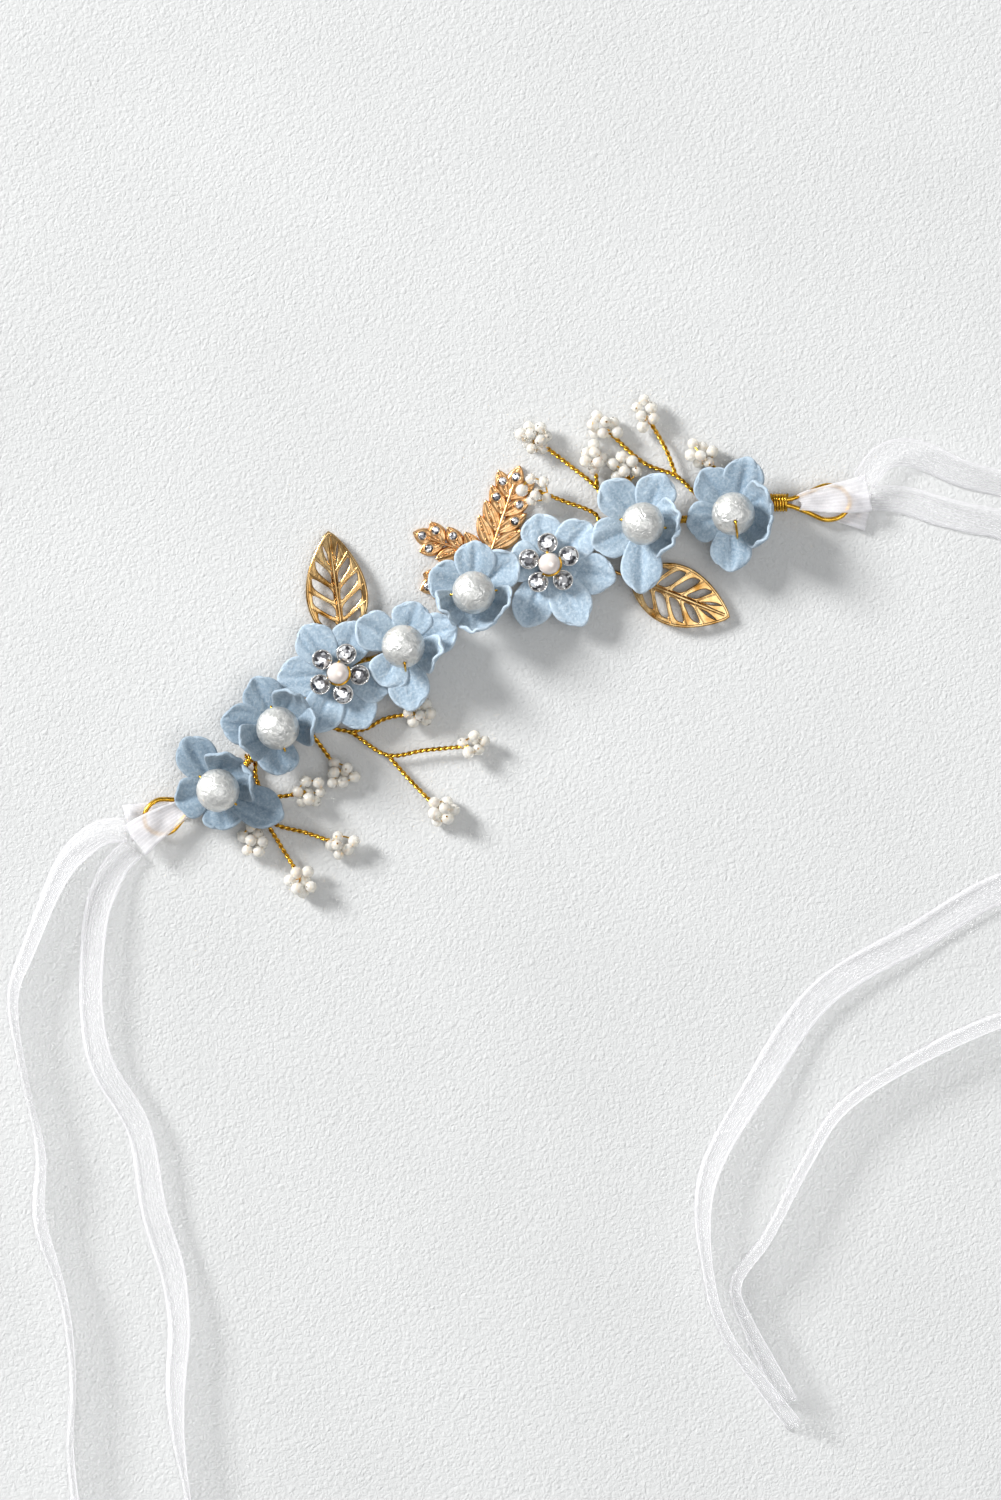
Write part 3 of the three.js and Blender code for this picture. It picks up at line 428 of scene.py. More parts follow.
def small_pearl_material():
    m = Nodes("smooth_centre_pearl")
    cloud = m.noise(260, 3)
    colour = m.ramp(cloud, [(0.35, (0.82, 0.70, 0.64)), (0.65, (0.90, 0.82, 0.76))])
    return m.set(Base_Color=colour, Metallic=0.2, Roughness=m.span(cloud, 0.16, 0.26), Coat_Weight=0.6,
                 Coat_Roughness=0.08)


def gilt_material(name, deep, bright, rough, mark_scale):
    m = Nodes(name)
    tarnish = m.noise(mark_scale, 5, 0.6)
    colour = m.ramp(tarnish, [(0.35, deep), (0.62, bright)])
    scratches = m.noise(mark_scale * 6, 3, 0.7)
    return m.set(Base_Color=colour, Metallic=1.0, Roughness=m.span(tarnish, rough, rough + 0.14),
                 Normal=m.bump(scratches, 0.25, 0.05))


def crystal_material():
    m = Nodes("cut_crystal")
    cells = m.node("ShaderNodeTexVoronoi", {"Vector": m.place, "Scale": 1300.0})
    # Painted reflections: random cells from near black to near white stand in for facets mirroring dark and
    # bright surroundings
    painted_facet_reflections = m.node("ShaderNodeSeparateColor", {"Color": cells.outputs["Color"]}).outputs[0]
    colour = m.ramp(painted_facet_reflections, [(0.2, (0.05, 0.05, 0.06)), (0.5, (0.32, 0.32, 0.33)),
                             (0.75, (0.92, 0.93, 0.95))])
    return m.set(Base_Color=colour, Metallic=0.6, Roughness=m.span(painted_facet_reflections, 0.04, 0.12), IOR=1.6,
                 Coat_Weight=1.0, Coat_Roughness=0.02)


def bead_material():
    m = Nodes("ivory_glass_bead")
    cloud = m.noise(700, 4, 0.6)
    colour = m.ramp(cloud, [(0.34, (1.0, 0.96, 0.86)), (0.6, (1.0, 0.99, 0.95))])
    return m.set(Base_Color=colour, Roughness=m.span(cloud, 0.06, 0.3), Transmission_Weight=0.45, IOR=1.25,
                 Coat_Weight=0.5, Coat_Roughness=0.04)


def organza_material():
    m = Nodes("sheer_organza")
    lines = m.node("ShaderNodeMath", {0: m.attribute("across"), 1: 26.0}, operation="MULTIPLY").outputs[0]
    weave = m.node("ShaderNodeMath", {0: lines}, operation="SINE").outputs[0]
    threads = m.mix(0.5, m.span(weave, 0.3, 0.7), m.noise(2400, 3))
    edge = m.attribute("selvedge")
    cover = m.node("ShaderNodeMath", {0: m.span(threads, 0.06, 0.42), 1: m.span(edge, 0.0, 0.4)},
                   operation="ADD").outputs[0]
    cover = m.node("ShaderNodeMath", {0: cover, 1: m.attribute("layers")}, operation="ADD").outputs[0]
    colour = m.ramp(threads, [(0.2, (0.92, 0.91, 0.94)), (0.8, (1.0, 0.99, 1.0))])
    return m.set(Base_Color=colour, Roughness=m.span(threads, 0.5, 0.7), Alpha=cover, Sheen_Weight=0.3,
                 Transmission_Weight=0.45, IOR=1.05, Normal=m.bump(threads, 0.3, 0.05))


def plaster_material():
    m = Nodes("plaster_white_table")
    lumps = m.noise(760, 5, 0.6, 0.8)
    broad = m.noise(14, 3)
    pits = m.cells(840, "DISTANCE_TO_EDGE")
    height = m.mix(0.4, lumps, pits)
    colour = m.ramp(broad, [(0.3, (0.62, 0.625, 0.62)), (0.7, (0.66, 0.665, 0.66))])
    return m.set(Base_Color=colour, Roughness=m.span(lumps, 0.8, 0.95), Normal=m.bump(height, 0.7, 0.7))


# ---------- camera first, then the cords ----------
def set_camera():
    """Straight down, with the vine's chord turned the way it lies in the frame."""
    centre = Vector((-8.24, -26.9, 0)) * MM
    distance, covered = 1.6, 0.3489
    camera = bpy.data.cameras.new("overhead")
    camera.sensor_fit = "VERTICAL"
    camera.sensor_height = 36
    camera.lens = camera.sensor_height * distance / covered
    obj = add_object("overhead", camera)
    obj.location = centre + UP * distance
    obj.rotation_euler = (0, 0, math.radians(-25.5))
    bpy.context.scene.camera = obj


def roll_at(rolls, share):
    """How far the ribbon is turned on edge there, in radians, eased between the listed rolls."""
    place = share * (len(rolls) - 1)
    i = min(int(place), len(rolls) - 2)
    blend = place - i
    blend = blend * blend * (3 - 2 * blend)
    return math.radians(rolls[i] * (1 - blend) + rolls[i + 1] * blend)


def ribbon_strip(name, centres, rolls, widths, material, ripple, seed, layers=0.0):
    """A thin closed strip: at each station a slightly bowed section, turned by its roll."""
    across_count = 8
    vertices, edges, across_values = [], [], []
    ways = tangents(centres)
    for i, (centre, way) in enumerate(zip(centres, ways)):
        roll = rolls[i]
        level = UP.cross(way).normalized()
        across = level * math.cos(roll) + UP * math.sin(roll)
        normal = way.cross(across)
        for side in (1, -1):
            for k in range(across_count + 1):
                v = (2 * k / across_count - 1) * side
                bow = ripple * noise.noise(Vector((i * 0.11, v * 1.3, seed)))
                bow += 0.35 * ripple * (v * v - 0.4)
                at = centre + across * (v * widths[i] / 2) + normal * (bow + side * RIBBON_THICKNESS / 2)
                vertices.append(at)
                edges.append(abs(v) ** 10)
                across_values.append(v)
    around = 2 * (across_count + 1)
    faces = [(row * around + k, row * around + (k + 1) % around,
              (row + 1) * around + (k + 1) % around, (row + 1) * around + k)
             for row in range(len(centres) - 1) for k in range(around)]
    last = (len(centres) - 1) * around
    faces += [tuple(range(around))[::-1], tuple(range(last, last + around))]
    for vertex in vertices:
        vertex.z = max(vertex.z, LOWEST_FABRIC)
    obj = mesh_object(name, vertices, faces, material)
    paint(obj, selvedge=edges, across=across_values, layers=[layers] * len(vertices))
    return obj


def ribbon_fold(side, material):
    """The middle of the ribbon: in under the loop, up through it, and out over its tip."""
    end = ENDS[side]
    length = end["length"]
    route = [(1.3, -2.2, 1.5), (1.0, -1.4, 0.8), (0.7, -0.6, 0.7), (0.3, -0.2, 1.2), (0.17, 0, 2.4),
             (0.3, 0.3, 3.7), (0.7, 0.9, 4.4), (1.0, 1.4, 4.5), (1.3, 2.2, 4.2)]
    centres = catmull([end_point(end, s * length, across, z) for s, across, z in route], FOLD_STATIONS)
    shares = [i / FOLD_STATIONS for i in range(FOLD_STATIONS + 1)]
    widths = [3.2 + 5.6 * abs(2 * share - 1) ** 0.7 for share in shares]
    rolls = [math.radians(10 * math.sin(7 * share)) for share in shares]
    return ribbon_strip(f"ribbon_{side}_gather", centres, rolls, widths, material, 0.9, 3.7, 0.3)


def ribbon_tail(name, material):
    """One loose tail: level where it leaves the loop, then lying on the table partly on edge."""
    facts = TAILS[name]
    flat = catmull([Vector((x, y, 0)) for x, y in facts["points"]], TAIL_STATIONS)
    centres, rolls = [], []
    for i, at in enumerate(flat):
        share = i / TAIL_STATIONS
        roll = roll_at(facts["rolls"], share)
        rest = 0.35 + RIBBON_WIDTH / 2 * math.sin(roll) + 0.5 * abs(noise.noise(at * 0.05))
        near_loop = max(0.0, 1 - share / 0.06)
        centres.append(Vector((at.x, at.y, rest * (1 - near_loop) + facts["start"] * near_loop)))
        rolls.append(roll * min(1.0, share / 0.05))
    widths = [RIBBON_WIDTH * (0.8 + 0.2 * min(1, i / 8)) for i in range(len(centres))]
    obj = ribbon_strip(name + "_organza", centres, rolls, widths, material, 0.45, len(name) * 0.37)
    return show(obj, nodes=[name])


set_camera()
ORGANZA = organza_material()
for side in ENDS:
    gathered = show(ribbon_fold(side, ORGANZA), nodes=[f"ribbon_{side}_fold"])
    for place in ("inner", "outer"):
        ribbon_tail(f"ribbon_{side}_tail_{place}", ORGANZA)

GILT = gilt_material("gilt_wire", (0.42, 0.20, 0.01), (0.86, 0.52, 0.07), 0.14, 900)
LEAF_GILT = gilt_material("gilt_leaf", (0.34, 0.16, 0.03), (0.80, 0.56, 0.27), 0.1, 220)
ROSE = gilt_material("rose_gold_cast", (0.62, 0.31, 0.11), (0.92, 0.60, 0.31), 0.24, 700)
SILVER = gilt_material("plated_cup", (0.50, 0.50, 0.50), (0.84, 0.83, 0.81), 0.14, 600)
CRYSTAL, BEAD = crystal_material(), bead_material()
PETAL, COTTON_SKIN, PEARL_SKIN = petal_material(), cotton_pearl_material(), small_pearl_material()


# ---------- flowers ----------
def petal_surface(petal, lift, seed):
    """Grid of one petal's middle surface with its painted crease shade and painted edge highlight values."""
    azimuth, reach, kind = petal
    start, stop = (math.radians(a) for a in RISE[kind])
    mean = (math.sin(stop) - math.sin(start)) / (stop - start)
    radius = (reach - PETAL_ROOT) / mean / (stop - start)
    width = PETAL_WIDTH * (0.95 if kind == "cup" else 1.0)
    turn = Matrix.Rotation(math.radians(azimuth), 3, "Z")
    rows, columns = 16, 12
    points, crease, rim = [], [], []
    for i in range(rows + 1):
        t = i / rows
        outline = 0.4 + 0.6 * math.sin(min(t / FULL_AT, 1) * math.pi / 2)
        if t > FULL_AT:
            outline *= math.sqrt(max(1 - ((t - FULL_AT) / TIP_ROUNDING) ** 2, 0.0)) ** 0.9
        for k in range(columns + 1):
            v = 2 * k / columns - 1
            along = t - 0.16 * v * v * t ** 3
            rise = start + (stop - start) * along
            place = Vector((PETAL_ROOT + radius * (math.sin(rise) - math.sin(start)), v * outline * width / 2,
                            PETAL_ROOT_HEIGHT + radius * (math.cos(start) - math.cos(rise))))
            normal = Vector((-math.sin(rise), 0, math.cos(rise)))
            wave = noise.noise(Vector((v * 1.7 + seed, t * 1.6, seed * 2.3)))
            fold = math.exp(-(v / 0.16) ** 2) * math.sin(math.pi * min(t, 0.92))
            fine = noise.noise(Vector((v * 7 + seed, t * 1.2, seed)))
            height = RUFFLE[kind] * 2.1 * wave * t * t + (0.95 if kind == "cup" else 0.55) * v * v * t
            height += -0.6 * fold + 0.3 * fine * t
            points.append(turn @ (place + normal * height) + UP * lift)
            # Painted shade mask: lower, so darker, where the fold and fine ripples sink the petal
            crease.append(min(1, max(0, 0.6 + 0.7 * fine - 0.5 * fold)))
            # Painted highlight mask, strongest at the petal's edges and tip
            rim.append(max(abs(v) ** 9, t ** 14) * (0.3 + 0.7 * t))
    return points, grid_faces(rows, columns), crease, rim


def flower(number):
    """One flower: its petals as a single thickened mesh, and the base disc behind them."""
    facts = FLOWERS[number]
    centre = Vector((*facts["at"], FLOWER_BACK))
    ringed = "ring" in facts
    parts, crease, rim = [], [], []
    for i, petal in enumerate(facts["petals"]):
        layer = 0.28 * (i % 2) + (-0.1 if ringed else 0.25)
        points, faces, crease_shade_values, edges = petal_surface(petal, layer, number * 7.3 + i * 1.9)
        parts.append(([centre + p for p in points], faces))
        # Painted crease shade of this petal
        crease += crease_shade_values
        # Painted edge highlight of this petal
        rim += edges
    vertices, faces = gather(parts)
    obj = mesh_object(f"flower_{number + 1}_petals", vertices, faces, PETAL)
    # Painted shade for the whole flower, deepest on the two leftmost flowers
    dye = FLOWER_PAINTED_SHADES[number]
    paint(obj, crease=crease, rim=rim, dye=[dye] * len(vertices))
    thick = obj.modifiers.new("thickness", "SOLIDIFY")
    thick.thickness = PETAL_THICKNESS * MM
    thick.offset = 0
    rounded = obj.modifiers.new("rounded_rim", "SUBSURF")
    rounded.levels = 1
    rounded.render_levels = 1
    show(obj, nodes=[f"flower_{number + 1}"])
    profile = [(1.55, 0), (3.0, 0.05), (3.1, 0.5), (2.6, 1.25), (1.55, 1.3), (1.55, 0)]
    base = mesh_object(f"flower_{number + 1}_base", *moved(lathe(profile, 32), centre), PETAL)
    count = len(base.data.vertices)
    # The base disc gets fixed values of the painted crease shade, painted edge highlight and painted flower
    # shade
    paint(base, crease=[0.4] * count, rim=[0.4] * count, dye=[dye] * count)
    show(base)


def bore_axis(pin):
    azimuth, elevation = (math.radians(a) for a in pin)
    return Vector((math.cos(elevation) * math.cos(azimuth), math.cos(elevation) * math.sin(azimuth),
                   math.sin(elevation)))


def pearl(number, kind, material, crinkle):
    """A bored pearl: the skin turns in at both mouths of its hole."""
    facts = FLOWERS[number]
    centre = Vector((*facts["at"], FLOWER_BACK + kind["height"]))
    radius, rings = kind["radius"], 72
    first = math.asin(BORE_RADIUS / radius)
    profile = [(BORE_RADIUS, 0.0), (BORE_RADIUS, -radius * 0.9)]
    profile += [(radius * math.sin(first + (math.pi - 2 * first) * i / rings),
                 -radius * math.cos(first + (math.pi - 2 * first) * i / rings)) for i in range(rings + 1)]
    profile += [(BORE_RADIUS, radius * 0.9), (BORE_RADIUS, 0.0)]
    vertices, faces = lathe(profile, 96)
    shaped = []
    for v in vertices:
        if v.length > radius * 0.95:
            spot = v * 0.9 + Vector((number * 9.1, 0, 0))
            v = v * (1 + crinkle * (noise.noise(spot) - abs(noise.noise(spot * 1.9))) / radius)
        shaped.append(v)
    turn = UP.rotation_difference(bore_axis(facts["pin"])).to_matrix()
    obj = mesh_object(f"pearl_{number + 1}_skin", *moved((shaped, faces), centre, turn), material)
    show(obj, body=f"pearl_{number + 1}", nodes=[f"pearl_{number + 1}"])


def pearl_pin(number, kind):
    """The wire of one pearl: through its bore, round it and down through the flower to the band."""
    facts = FLOWERS[number]
    azimuth, elevation = (math.radians(a) for a in facts["pin"])
    spot = Vector((*facts["at"], FLOWER_BACK))
    centre = spot + UP * kind["height"]
    out = Vector((math.cos(azimuth), math.sin(azimuth), 0))
    side = beside(band_at(facts["at"][0])[1], out)
    hug = kind["radius"] + PIN_LIFT

    def leg(sign, start):
        stop = math.radians(-kind["hug_end"] if sign > 0 else kind["hug_end"] - 180)
        count = max(1, round(abs(stop - start) / math.radians(PIN_ARC_STEP)))
        angles = [start + (stop - start) * i / count for i in range(1, count + 1)]
        arc = [centre + out * hug * math.cos(a) + UP * hug * math.sin(a) for a in angles]
        turning = (out + side).normalized()
        clasp = BAND_RADIUS + PIN_RADIUS + 0.33
        return arc + [spot + out * sign * PIN_SPREAD + UP * LEG_TOP,
                      spot + turning * sign * (PIN_SPREAD + 0.1) + UP * LEG_IN_HOLE,
                      spot + side * sign * (clasp + 0.05) - UP, spot + side * sign * clasp - UP * LEG_LOW,
                      spot + side * sign * 0.45 - UP * LEG_END]

    axis = bore_axis(facts["pin"])
    turn = math.radians(PIN_TURN)
    upper = leg(1, elevation - turn)[::-1]
    steep = elevation > math.radians(STEEP_BORE)
    lower = leg(-1, math.radians(STEEP_LEG_START) if steep else -math.pi + elevation + turn)
    inside = [centre + axis * kind["radius"] * share for share in BORE_STATIONS]
    obj = wires(f"pearl_pin_{number + 1}_wire", [catmull(upper + inside + lower, 90)], PIN_RADIUS, GILT)
    show(obj, nodes=[f"pearl_pin_{number + 1}"])


def pearl_collar(number):
    """Nearly half a turn of wire against the lower side of a centre pearl."""
    centre = Vector((*FLOWERS[number]["at"], FLOWER_BACK + CENTRE["height"] - 0.9))
    arc = [centre + Vector((COLLAR_RADIUS * math.cos(a), COLLAR_RADIUS * math.sin(a), 0.25 * math.sin(3 * a)))
           for a in (math.radians(-150 + 8 * i) for i in range(21))]
    show(wires(f"pearl_pin_{number + 1}_collar", [arc], BINDING_WIRE, GILT))


def ring_spots(facts):
    """Foot of each cup, evenly round the flower's centre."""
    spots = []
    for i in range(RING_STONES):
        angle = math.radians(facts["ring"] + 360 / RING_STONES * i)
        spots.append(Vector((facts["at"][0] + RING_RADIUS * math.cos(angle),
                             facts["at"][1] + RING_RADIUS * math.sin(angle), FLOWER_BACK + RING_FLOOR)))
    return spots


def brilliant(radius, depth):
    """A cut stone: pointed below, a faceted crown and a flat table."""
    table, girdle = [], []
    sides = 8
    for i in range(sides):
        angle = 2 * math.pi * (i + 0.5) / sides
        table.append(Vector((0.55 * radius * math.cos(angle), 0.55 * radius * math.sin(angle), depth)))
    for i in range(2 * sides):
        angle = math.pi * i / sides
        girdle.append(Vector((radius * math.cos(angle), radius * math.sin(angle), depth * 0.58)))
    vertices = table + girdle + [Vector((0, 0, 0))]
    tip = len(vertices) - 1
    faces = [tuple(range(sides))]
    for i in range(2 * sides):
        faces.append((tip, sides + (i + 1) % (2 * sides), sides + i))
    for i in range(sides):
        left, middle, right = (sides + (2 * i + k) % (2 * sides) for k in (0, 1, 2))
        faces += [(i, left, middle), (i, middle, right), (i, right, (i + 1) % sides)]
    return vertices, faces


def stone_ring(number):
    """The plated ring: cups with claws joined to a hub, and a cut crystal in each cup."""
    facts = FLOWERS[number]
    label = number + 1
    spots = ring_spots(facts)
    parts = []
    cup = [(1.5, 0), (2.1, 0.15), (2.35, 0.7), (2.38, 1.45), (2.28, 1.6), (2.12, 1.5), (2.08, 0.5),
           (0.01, 0.45)]
    for spot in spots:
        parts.append(moved(lathe(cup, 28), spot))
        for claw in range(6):
            angle = math.pi / 3 * claw + 0.3
            tip = spot + Vector((2.02 * math.cos(angle), 2.02 * math.sin(angle), 1.68))
            parts.append(moved(metal_grain(), tip))
    hub = [(1.4, 0), (2.8, 0.05), (2.85, 0.5), (1.4, 0.6), (1.4, 0)]
    parts.append(moved(lathe(hub, 28), Vector((*facts["at"], FLOWER_BACK + RING_FLOOR))))
    show(mesh_object(f"stone_ring_{label}_cups", *gather(parts), SILVER),
         nodes=[f"stone_ring_{label}"])
    for i, spot in enumerate(spots):
        part = moved(brilliant(STONE_RADIUS, STONE_DEPTH), spot + UP * 0.6)
        obj = mesh_object(f"crystal_{label}_{i + 1}_cut", *part, CRYSTAL, smooth=False)
        show(obj, nodes=[f"crystal_{label}_{i + 1}"])


# ---------- wires, sprigs ----------
def band_wire():
    """The band from loop to loop, and the thin wire bound round it between the flowers."""
    points = loop_points(ENDS["left"]) + FLOWER_POINTS + loop_points(ENDS["right"])
    band = wires("band_wire_gilt", [catmull(points, 700)], BAND_RADIUS, GILT, 4)
    show(band, nodes=["band_wire"])
    turns = []
    for before, after in zip(FLOWERS, FLOWERS[1:]):
        middle = (before["at"][0] + after["at"][0]) / 2
        turns.append(wrap_round(middle - 2.2, 4.4, 9, BAND_RADIUS + 0.22))
    show(wires("band_wire_binding", turns, FINE_WIRE, GILT, 2))


def wrap_round(x, length, turns, radius):
    """A thin wire wound round the band from x on."""
    path = []
    for i in range(turns * 12 + 1):
        at, way = band_at(x + length * i / (turns * 12))
        side = Vector((-way.y, way.x, 0))
        angle = 2 * math.pi * i / 12
        path.append(at + side * radius * math.cos(angle) + UP * radius * math.sin(angle))
    return path


def loop_binding(side):
    """The wire coil round both strands at the neck of an end loop."""
    end = ENDS[side]
    count = end["turns"] * 16
    path = []
    for i in range(count + 1):
        angle = 2 * math.pi * i / 16
        along = -end["coil"] + 0.25 + (end["coil"] - 0.4) * i / count
        path.append(end_point(end, along, 1.85 * math.cos(angle), BAND_HEIGHT + 1.2 * math.sin(angle)))
    coil = wires(f"loop_binding_{side}_wire", [path], BINDING_WIRE, GILT)
    show(coil, nodes=[f"loop_binding_{side}"])


def twisted(path, pitch=2.8, spread=0.27):
    """Two strands twisted along a path."""
    strands = [[], []]
    walked = 0.0
    for i, (at, way) in enumerate(zip(path, tangents(path))):
        if i:
            walked += (at - path[i - 1]).length
        side = way.cross(UP)
        side = side.normalized() if side.length > 0.05 else Vector((1, 0, 0))
        over = side.cross(way)
        for k, strand in enumerate(strands):
            angle = 2 * math.pi * walked / pitch + math.pi * k
            strand.append(at + side * spread * math.cos(angle) + over * spread * math.sin(angle))
    return strands


def root_turns(x, toward):
    """The turns that tie a sprig to the band at x, ending under it."""
    at, way = band_at(x)
    side = beside(way, toward - at)
    points = []
    for i in range(ROOT_STEPS + 1):
        angle = -math.pi / 2 - (ROOT_STEPS - i) * math.pi / 4
        points.append(at + way * i * ROOT_PITCH + side * ROOT_RADIUS * math.cos(angle)
                      + UP * ROOT_RADIUS * math.sin(angle))
    return points


def bead_cluster(tip, way, rng):
    """Bead places packed on a flattened ball round the stem's tip."""
    across = Vector((-way.y, way.x, 0))
    places = []
    for _ in range(CLUSTER_TRIES):
        v = Vector((rng.uniform(-1, 1), rng.uniform(-1, 1), rng.uniform(-1, 1)))
        if not 0.5 < v.length < 1.0:
            continue
        at = tip + way * (v.x * CLUSTER_SIZE.x + 0.8) + across * v.y * CLUSTER_SIZE.y
        at += UP * (v.z * CLUSTER_SIZE.z + 0.3)
        if at.z > 1.5 and all((at - other).length > BEAD_SPACING for other in places):
            places.append(at)
        if len(places) == CLUSTER_BEADS:
            break
    return places


def bead(size, at, rng):
    """An oval bead with flattened ends, turned at random."""
    steps = 12
    shape = []
    for i in range(steps + 1):
        angle = math.pi * i / steps
        shape.append((max(0.9 * size * math.sin(angle), 0.25), -0.88 * size * math.cos(angle)))
    axis = Vector((rng.gauss(0, 1), rng.gauss(0, 1), rng.gauss(0, 1))).normalized()
    return moved(lathe(shape, 18), at, UP.rotation_difference(axis).to_matrix())


def sprig(name):
    """Twisted stems forking from one root, each with a cluster of beads strung on a thin wire."""
    root, lift, branches = SPRIGS[name]
    rng = random.Random(name)
    strands, beads, strings = [], [], []
    for number, branch in enumerate(branches):
        path = []
        for i, (x, y) in enumerate(branch):
            share = (i + 1) / len(branch)
            path.append(Vector((x, y, STEM_LOW + (CLUSTER_HEIGHT + lift - STEM_LOW) * share)))
        points = root_turns(root, path[0]) + path if number == 0 else path
        if number:
            points[0].z = FORK_HEIGHT
        length = sum((b - a).length for a, b in zip(points, points[1:]))
        strands += twisted(catmull(points, int(length * 5)))
        way = (path[-1] - path[-2]).normalized()
        way.z = 0
        places = bead_cluster(path[-1], way.normalized(), rng)
        order = sorted(places, key=lambda p: math.atan2(p.y - path[-1].y, p.x - path[-1].x))
        strings.append(catmull([path[-1], *order, path[-1] + UP * 0.4], 90))
        for at in places:
            size = rng.uniform(1.4, 1.7)
            beads.append(bead(size, at, rng))
    show(wires(f"{name}_stem", strands, 0.29, GILT, 2), nodes=[name])
    show(wires(f"{name}_string", strings, FINE_WIRE, GILT, 2))
    show(mesh_object(f"{name}_beads", *gather(beads), BEAD))


# ---------- leaves ----------
def blade_edge(length, t, side):
    """Point on the leaf's outline at share t of its length."""
    return Vector((t * length, side * math.sin(math.pi * t ** 0.85) ** 0.8 * LEAF_WIDTH / 2, 0))


def eye_and_stalk(x, foot, height):
    """The ring that the band runs through at x, and the stalk from it to a leaf's foot."""
    at, way = band_at(x)
    end = Vector((*foot, height))
    side = beside(way, end - at)
    ring = [at + side * EYE_RADIUS * math.cos(a) + UP * EYE_RADIUS * math.sin(a)
            for a in (2 * math.pi * i / 32 for i in range(33))]
    away = at + side * (EYE_RADIUS + 1)
    away.z = (BAND_HEIGHT + height) / 2
    stalk = catmull([at + side * (EYE_RADIUS + 0.1), away, end, end + (end - away).normalized() * 0.8], 40)
    return ring, stalk


def leaf_slot(length, start, side):
    """A swept opening between two veins, its four corners rounded."""
    outer = blade_edge(length, start + 0.17, 1).y - LEAF_RIM
    corners = [(start - 0.03, MIDRIB_GAP), (start + 0.1, MIDRIB_GAP), (start + 0.245, outer),
               (start + 0.125, outer)]
    points = [Vector((t * length, side * y, 0)) for t, y in corners]
    outline = []
    for k, here in enumerate(points):
        before, after = points[k - 1], points[(k + 1) % len(points)]
        first, last = here.lerp(before, SLOT_ROUNDING), here.lerp(after, SLOT_ROUNDING)
        for step in range(5):
            u = step / 4
            outline.append(first.lerp(here, u).lerp(here.lerp(last, u), u))
    return outline


def leaf_vein(length, start, side):
    """A raised vein from the midrib out to the rim, along the near edge of its opening."""
    reach, steps = blade_edge(length, start + 0.115, 1).y - 0.3, 10
    line = []
    for i in range(steps + 1):
        u = i / steps
        line.append(Vector(((start - 0.045 + 0.16 * u) * length, side * (0.3 + reach * u ** 0.85), 0)))
    return line


def pierced_plate(name, outlines):
    """A flat plate with rounded edges: the first outline is its rim, the others are holes."""
    curve = bpy.data.curves.new(name, "CURVE")
    curve.dimensions = "2D"
    curve.fill_mode = "BOTH"
    curve.extrude = 0.16 * MM
    curve.bevel_depth = 0.22 * MM
    curve.bevel_resolution = 2
    for outline in outlines:
        spline = curve.splines.new("POLY")
        spline.points.add(len(outline) - 1)
        for point, at in zip(spline.points, outline):
            point.co = (*(at * MM), 1)
        spline.use_cyclic_u = True
    flat = add_object(name + "_flat", curve)
    mesh = bpy.data.meshes.new_from_object(flat.evaluated_get(bpy.context.evaluated_depsgraph_get()))
    bpy.data.objects.remove(flat)
    return mesh


def gilt_leaf(name):
    """A pierced leaf bowed along its length, with a wire rim, midrib, veins and an eye on the band."""
    tip, foot, eye = LEAVES[name]
    run = Vector((tip[0] - foot[0], tip[1] - foot[1], 0))
    length = run.length
    turn = Matrix.Rotation(math.atan2(run.y, run.x), 3, "Z")
    middle = Vector((*foot, LEAF_HEIGHT))

    def place(v, up=0.0):
        bowed = v + UP * (up + 0.7 * math.sin(math.pi * v.x / length))
        return turn @ bowed + middle

    outline = [blade_edge(length, i / 40, 1) for i in range(41)]
    outline += [blade_edge(length, i / 40, -1) for i in range(39, 0, -1)]
    spans = [(FIRST_SLOT + SLOT_PITCH * k, side) for side in (1, -1) for k in range(SLOTS_A_SIDE)]
    slots = [leaf_slot(length, start, side) for start, side in spans]
    mesh = pierced_plate(name + "_blade", [[v * 0.985 for v in outline], *slots])
    for vertex in mesh.vertices:
        vertex.co = place(vertex.co / MM) * MM
    mesh.materials.clear()
    mesh.materials.append(LEAF_GILT)
    show(add_object(name + "_blade", mesh), nodes=[name])
    ring, stalk = eye_and_stalk(eye, foot, LEAF_HEIGHT)
    rim = [place(v, 0.1) for v in [*outline, outline[0]]]
    midrib = [place(Vector((length * 0.96 * i / 30, 0, 0)), 0.34) for i in range(31)]
    veins = [[place(v, 0.32) for v in leaf_vein(length, start, side)] for start, side in spans]
    show(wires(name + "_rim", [rim, midrib, stalk], 0.42, LEAF_GILT))
    show(wires(name + "_veins", [*veins, ring], FINE_WIRE, LEAF_GILT))


def leaflet(at, heading, length, width):
    """A pointed leaflet with a raised rim and midrib round a sunk field."""
    rows, columns = 12, 8
    top, under = [], []
    turn = Matrix.Rotation(heading, 3, "Z")
    for i in range(rows + 1):
        t = i / rows
        half = width / 2 * math.sin(math.pi * min(t * 0.94 + 0.05, 1)) ** 0.75
        for k in range(columns + 1):
            v = 2 * k / columns - 1
            rim = max(abs(v) ** 4, abs(2 * t - 1) ** 6)
            height = LEAFLET_HEIGHT - 0.55 * (1 - rim) + 0.45 * math.exp(-(v / 0.2) ** 2)
            edge = 1 - max(0, abs(v) - 0.85) * 5
            top.append(turn @ Vector((t * length, v * half, height * edge)) + at)
            under.append(turn @ Vector((t * length, v * half, 0)) + at)
    wide, base = columns + 1, len(top)
    faces = grid_faces(rows, columns)
    faces += [tuple(base + j for j in reversed(face)) for face in faces]
    border = list(range(wide))
    border += [i * wide + columns for i in range(1, rows + 1)]
    border += [rows * wide + k for k in range(columns - 1, -1, -1)]
    border += [i * wide for i in range(rows - 1, 0, -1)]
    faces += [(a, a + base, b + base, b) for a, b in zip(border, border[1:] + border[:1])]
    return top + under, faces


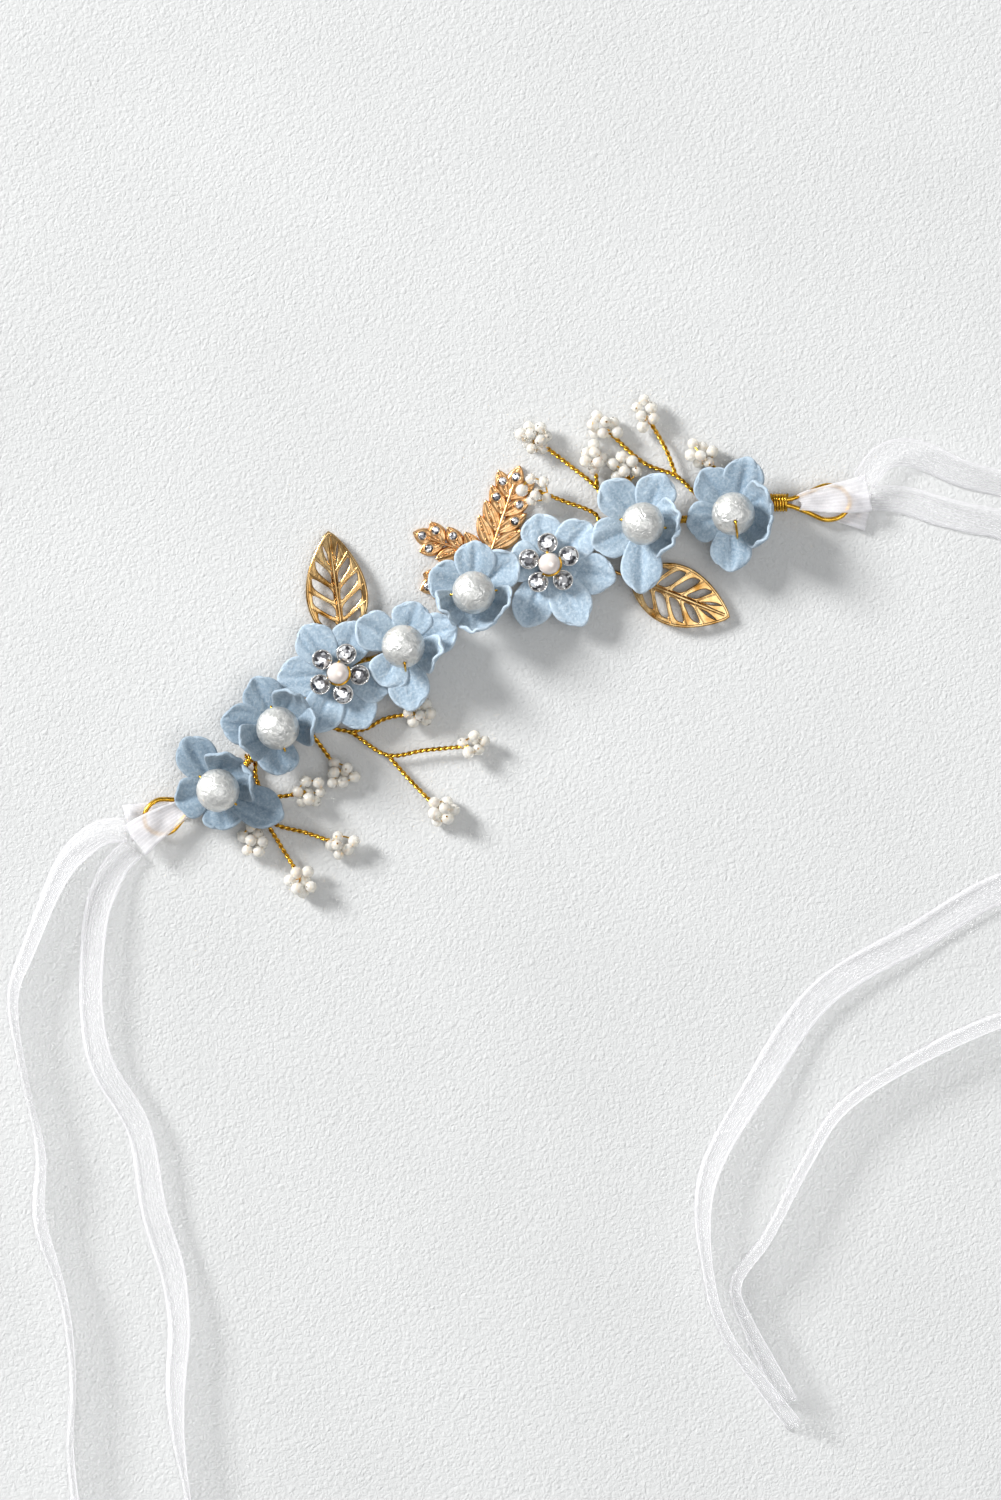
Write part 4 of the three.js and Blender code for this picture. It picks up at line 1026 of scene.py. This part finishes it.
def cast_laurel():
    """Three arms of leaflets on a hub, with grains and small set crystals, and an eye on the band."""
    rng = random.Random("laurel")
    metal, stones, midribs = [], [], []
    hub = Vector((*LAUREL_HUB, 0))

    def set_stone(at, size):
        collet = [(size + 0.3, 0), (size + 0.28, 0.5), (size + 0.05, 0.6), (size, 0.2)]
        metal.append(moved(lathe(collet, 20), at))
        stones.append(moved(brilliant(size, 0.7), at))

    for tip, pairs, long, jewelled in LAUREL_ARMS:
        run = Vector((tip[0] - hub.x, tip[1] - hub.y, 0))
        heading, length = math.atan2(run.y, run.x), run.length
        way = run.normalized()
        for pair in range(pairs):
            at = hub + run * (FIRST_PAIR + PAIRS_SPAN * pair / pairs)
            for side in (1, -1):
                turn = heading + side * math.radians(LEAFLET_ANGLE)
                size = long * (1 - LAUREL_TAPER * pair)
                metal.append(leaflet(at, turn, size, LEAFLET_WIDTH))
                out = Vector((math.cos(turn), math.sin(turn), 0))
                over = Vector((-out.y, out.x, 0))
                for grain in range(7):
                    share = 0.2 + 0.1 * grain
                    spot = at + out * size * share + over * rng.uniform(-0.75, 0.75) + UP * 1.12
                    metal.append(moved(metal_grain(), spot))
                if (pair, side) in jewelled:
                    set_stone(at + out * size * 0.6 + UP * 1.05, 1.0)
        metal.append(leaflet(hub + run * 0.68, heading, 0.32 * length, 4.2))
        set_stone(hub + run * 0.88 + UP * 1.1, 1.05)
        midribs.append([hub + way * (length * 0.8 * i / 12) + UP * 1.35 for i in range(13)])
    metal.append(moved(lathe([(0.01, 0), (3.0, 0), (3.0, 0.9), (2.5, 1.2), (0.01, 1.25)], 28), hub))
    show(mesh_object("cast_laurel_leaflets", *gather(metal), ROSE), nodes=["cast_laurel"])
    show(mesh_object("cast_laurel_crystals", *gather(stones), CRYSTAL, smooth=False))
    ring, stalk = eye_and_stalk(LAUREL_EYE, LAUREL_HUB, 0.75)
    show(wires("cast_laurel_ribs", [*midribs, ring], 0.3, ROSE))
    show(wires("cast_laurel_stalk", [stalk], 0.5, ROSE))


# ---------- table and light ----------
def table_and_light():
    """A wide plaster table, a low soft key from the upper left, a broad fill and a pale sky."""
    signs = ((-1, -1), (1, -1), (1, 1), (-1, 1))
    corners = [Vector((x * TABLE_HALF, y * TABLE_HALF, 0)) for x, y in signs]
    floor = mesh_object("plaster_table", corners, [(0, 1, 2, 3)], plaster_material(), smooth=False)
    centre = Vector((-0.01, -0.03, 0))
    for name, direction, elevation, distance, size, power in (
            ("key", (-0.54, 0.84), 28, 4.5, 1.3, 310), ("softbox", (0.5, -0.6), 70, 4.0, 3.4, 66)):
        lamp = bpy.data.lights.new(name, "AREA")
        lamp.size = size
        lamp.energy = power
        obj = add_object(name, lamp)
        level = Vector((*direction, 0)).normalized() * math.cos(math.radians(elevation))
        way = level + UP * math.sin(math.radians(elevation))
        obj.location = centre + way * distance
        obj.rotation_euler = way.to_track_quat("Z", "Y").to_euler()
    world = bpy.data.worlds.new("studio")
    world.use_nodes = True
    sky = world.node_tree.nodes["Background"]
    sky.inputs["Color"].default_value = (0.95, 0.97, 1.0, 1)
    sky.inputs["Strength"].default_value = 0.3
    bpy.context.scene.world = world
    bpy.context.scene.view_settings.view_transform = "Standard"


for index, own in enumerate(FLOWERS):
    flower(index)
    if "ring" in own:
        pearl(index, CENTRE, PEARL_SKIN, SMOOTH)
        pearl_pin(index, CENTRE)
        pearl_collar(index)
        stone_ring(index)
    else:
        pearl(index, COTTON, COTTON_SKIN, COTTON_CRINKLE)
        pearl_pin(index, COTTON)
band_wire()
for side in ENDS:
    loop_binding(side)
for name in SPRIGS:
    sprig(name)
for name in LEAVES:
    gilt_leaf(name)
cast_laurel()
table_and_light()
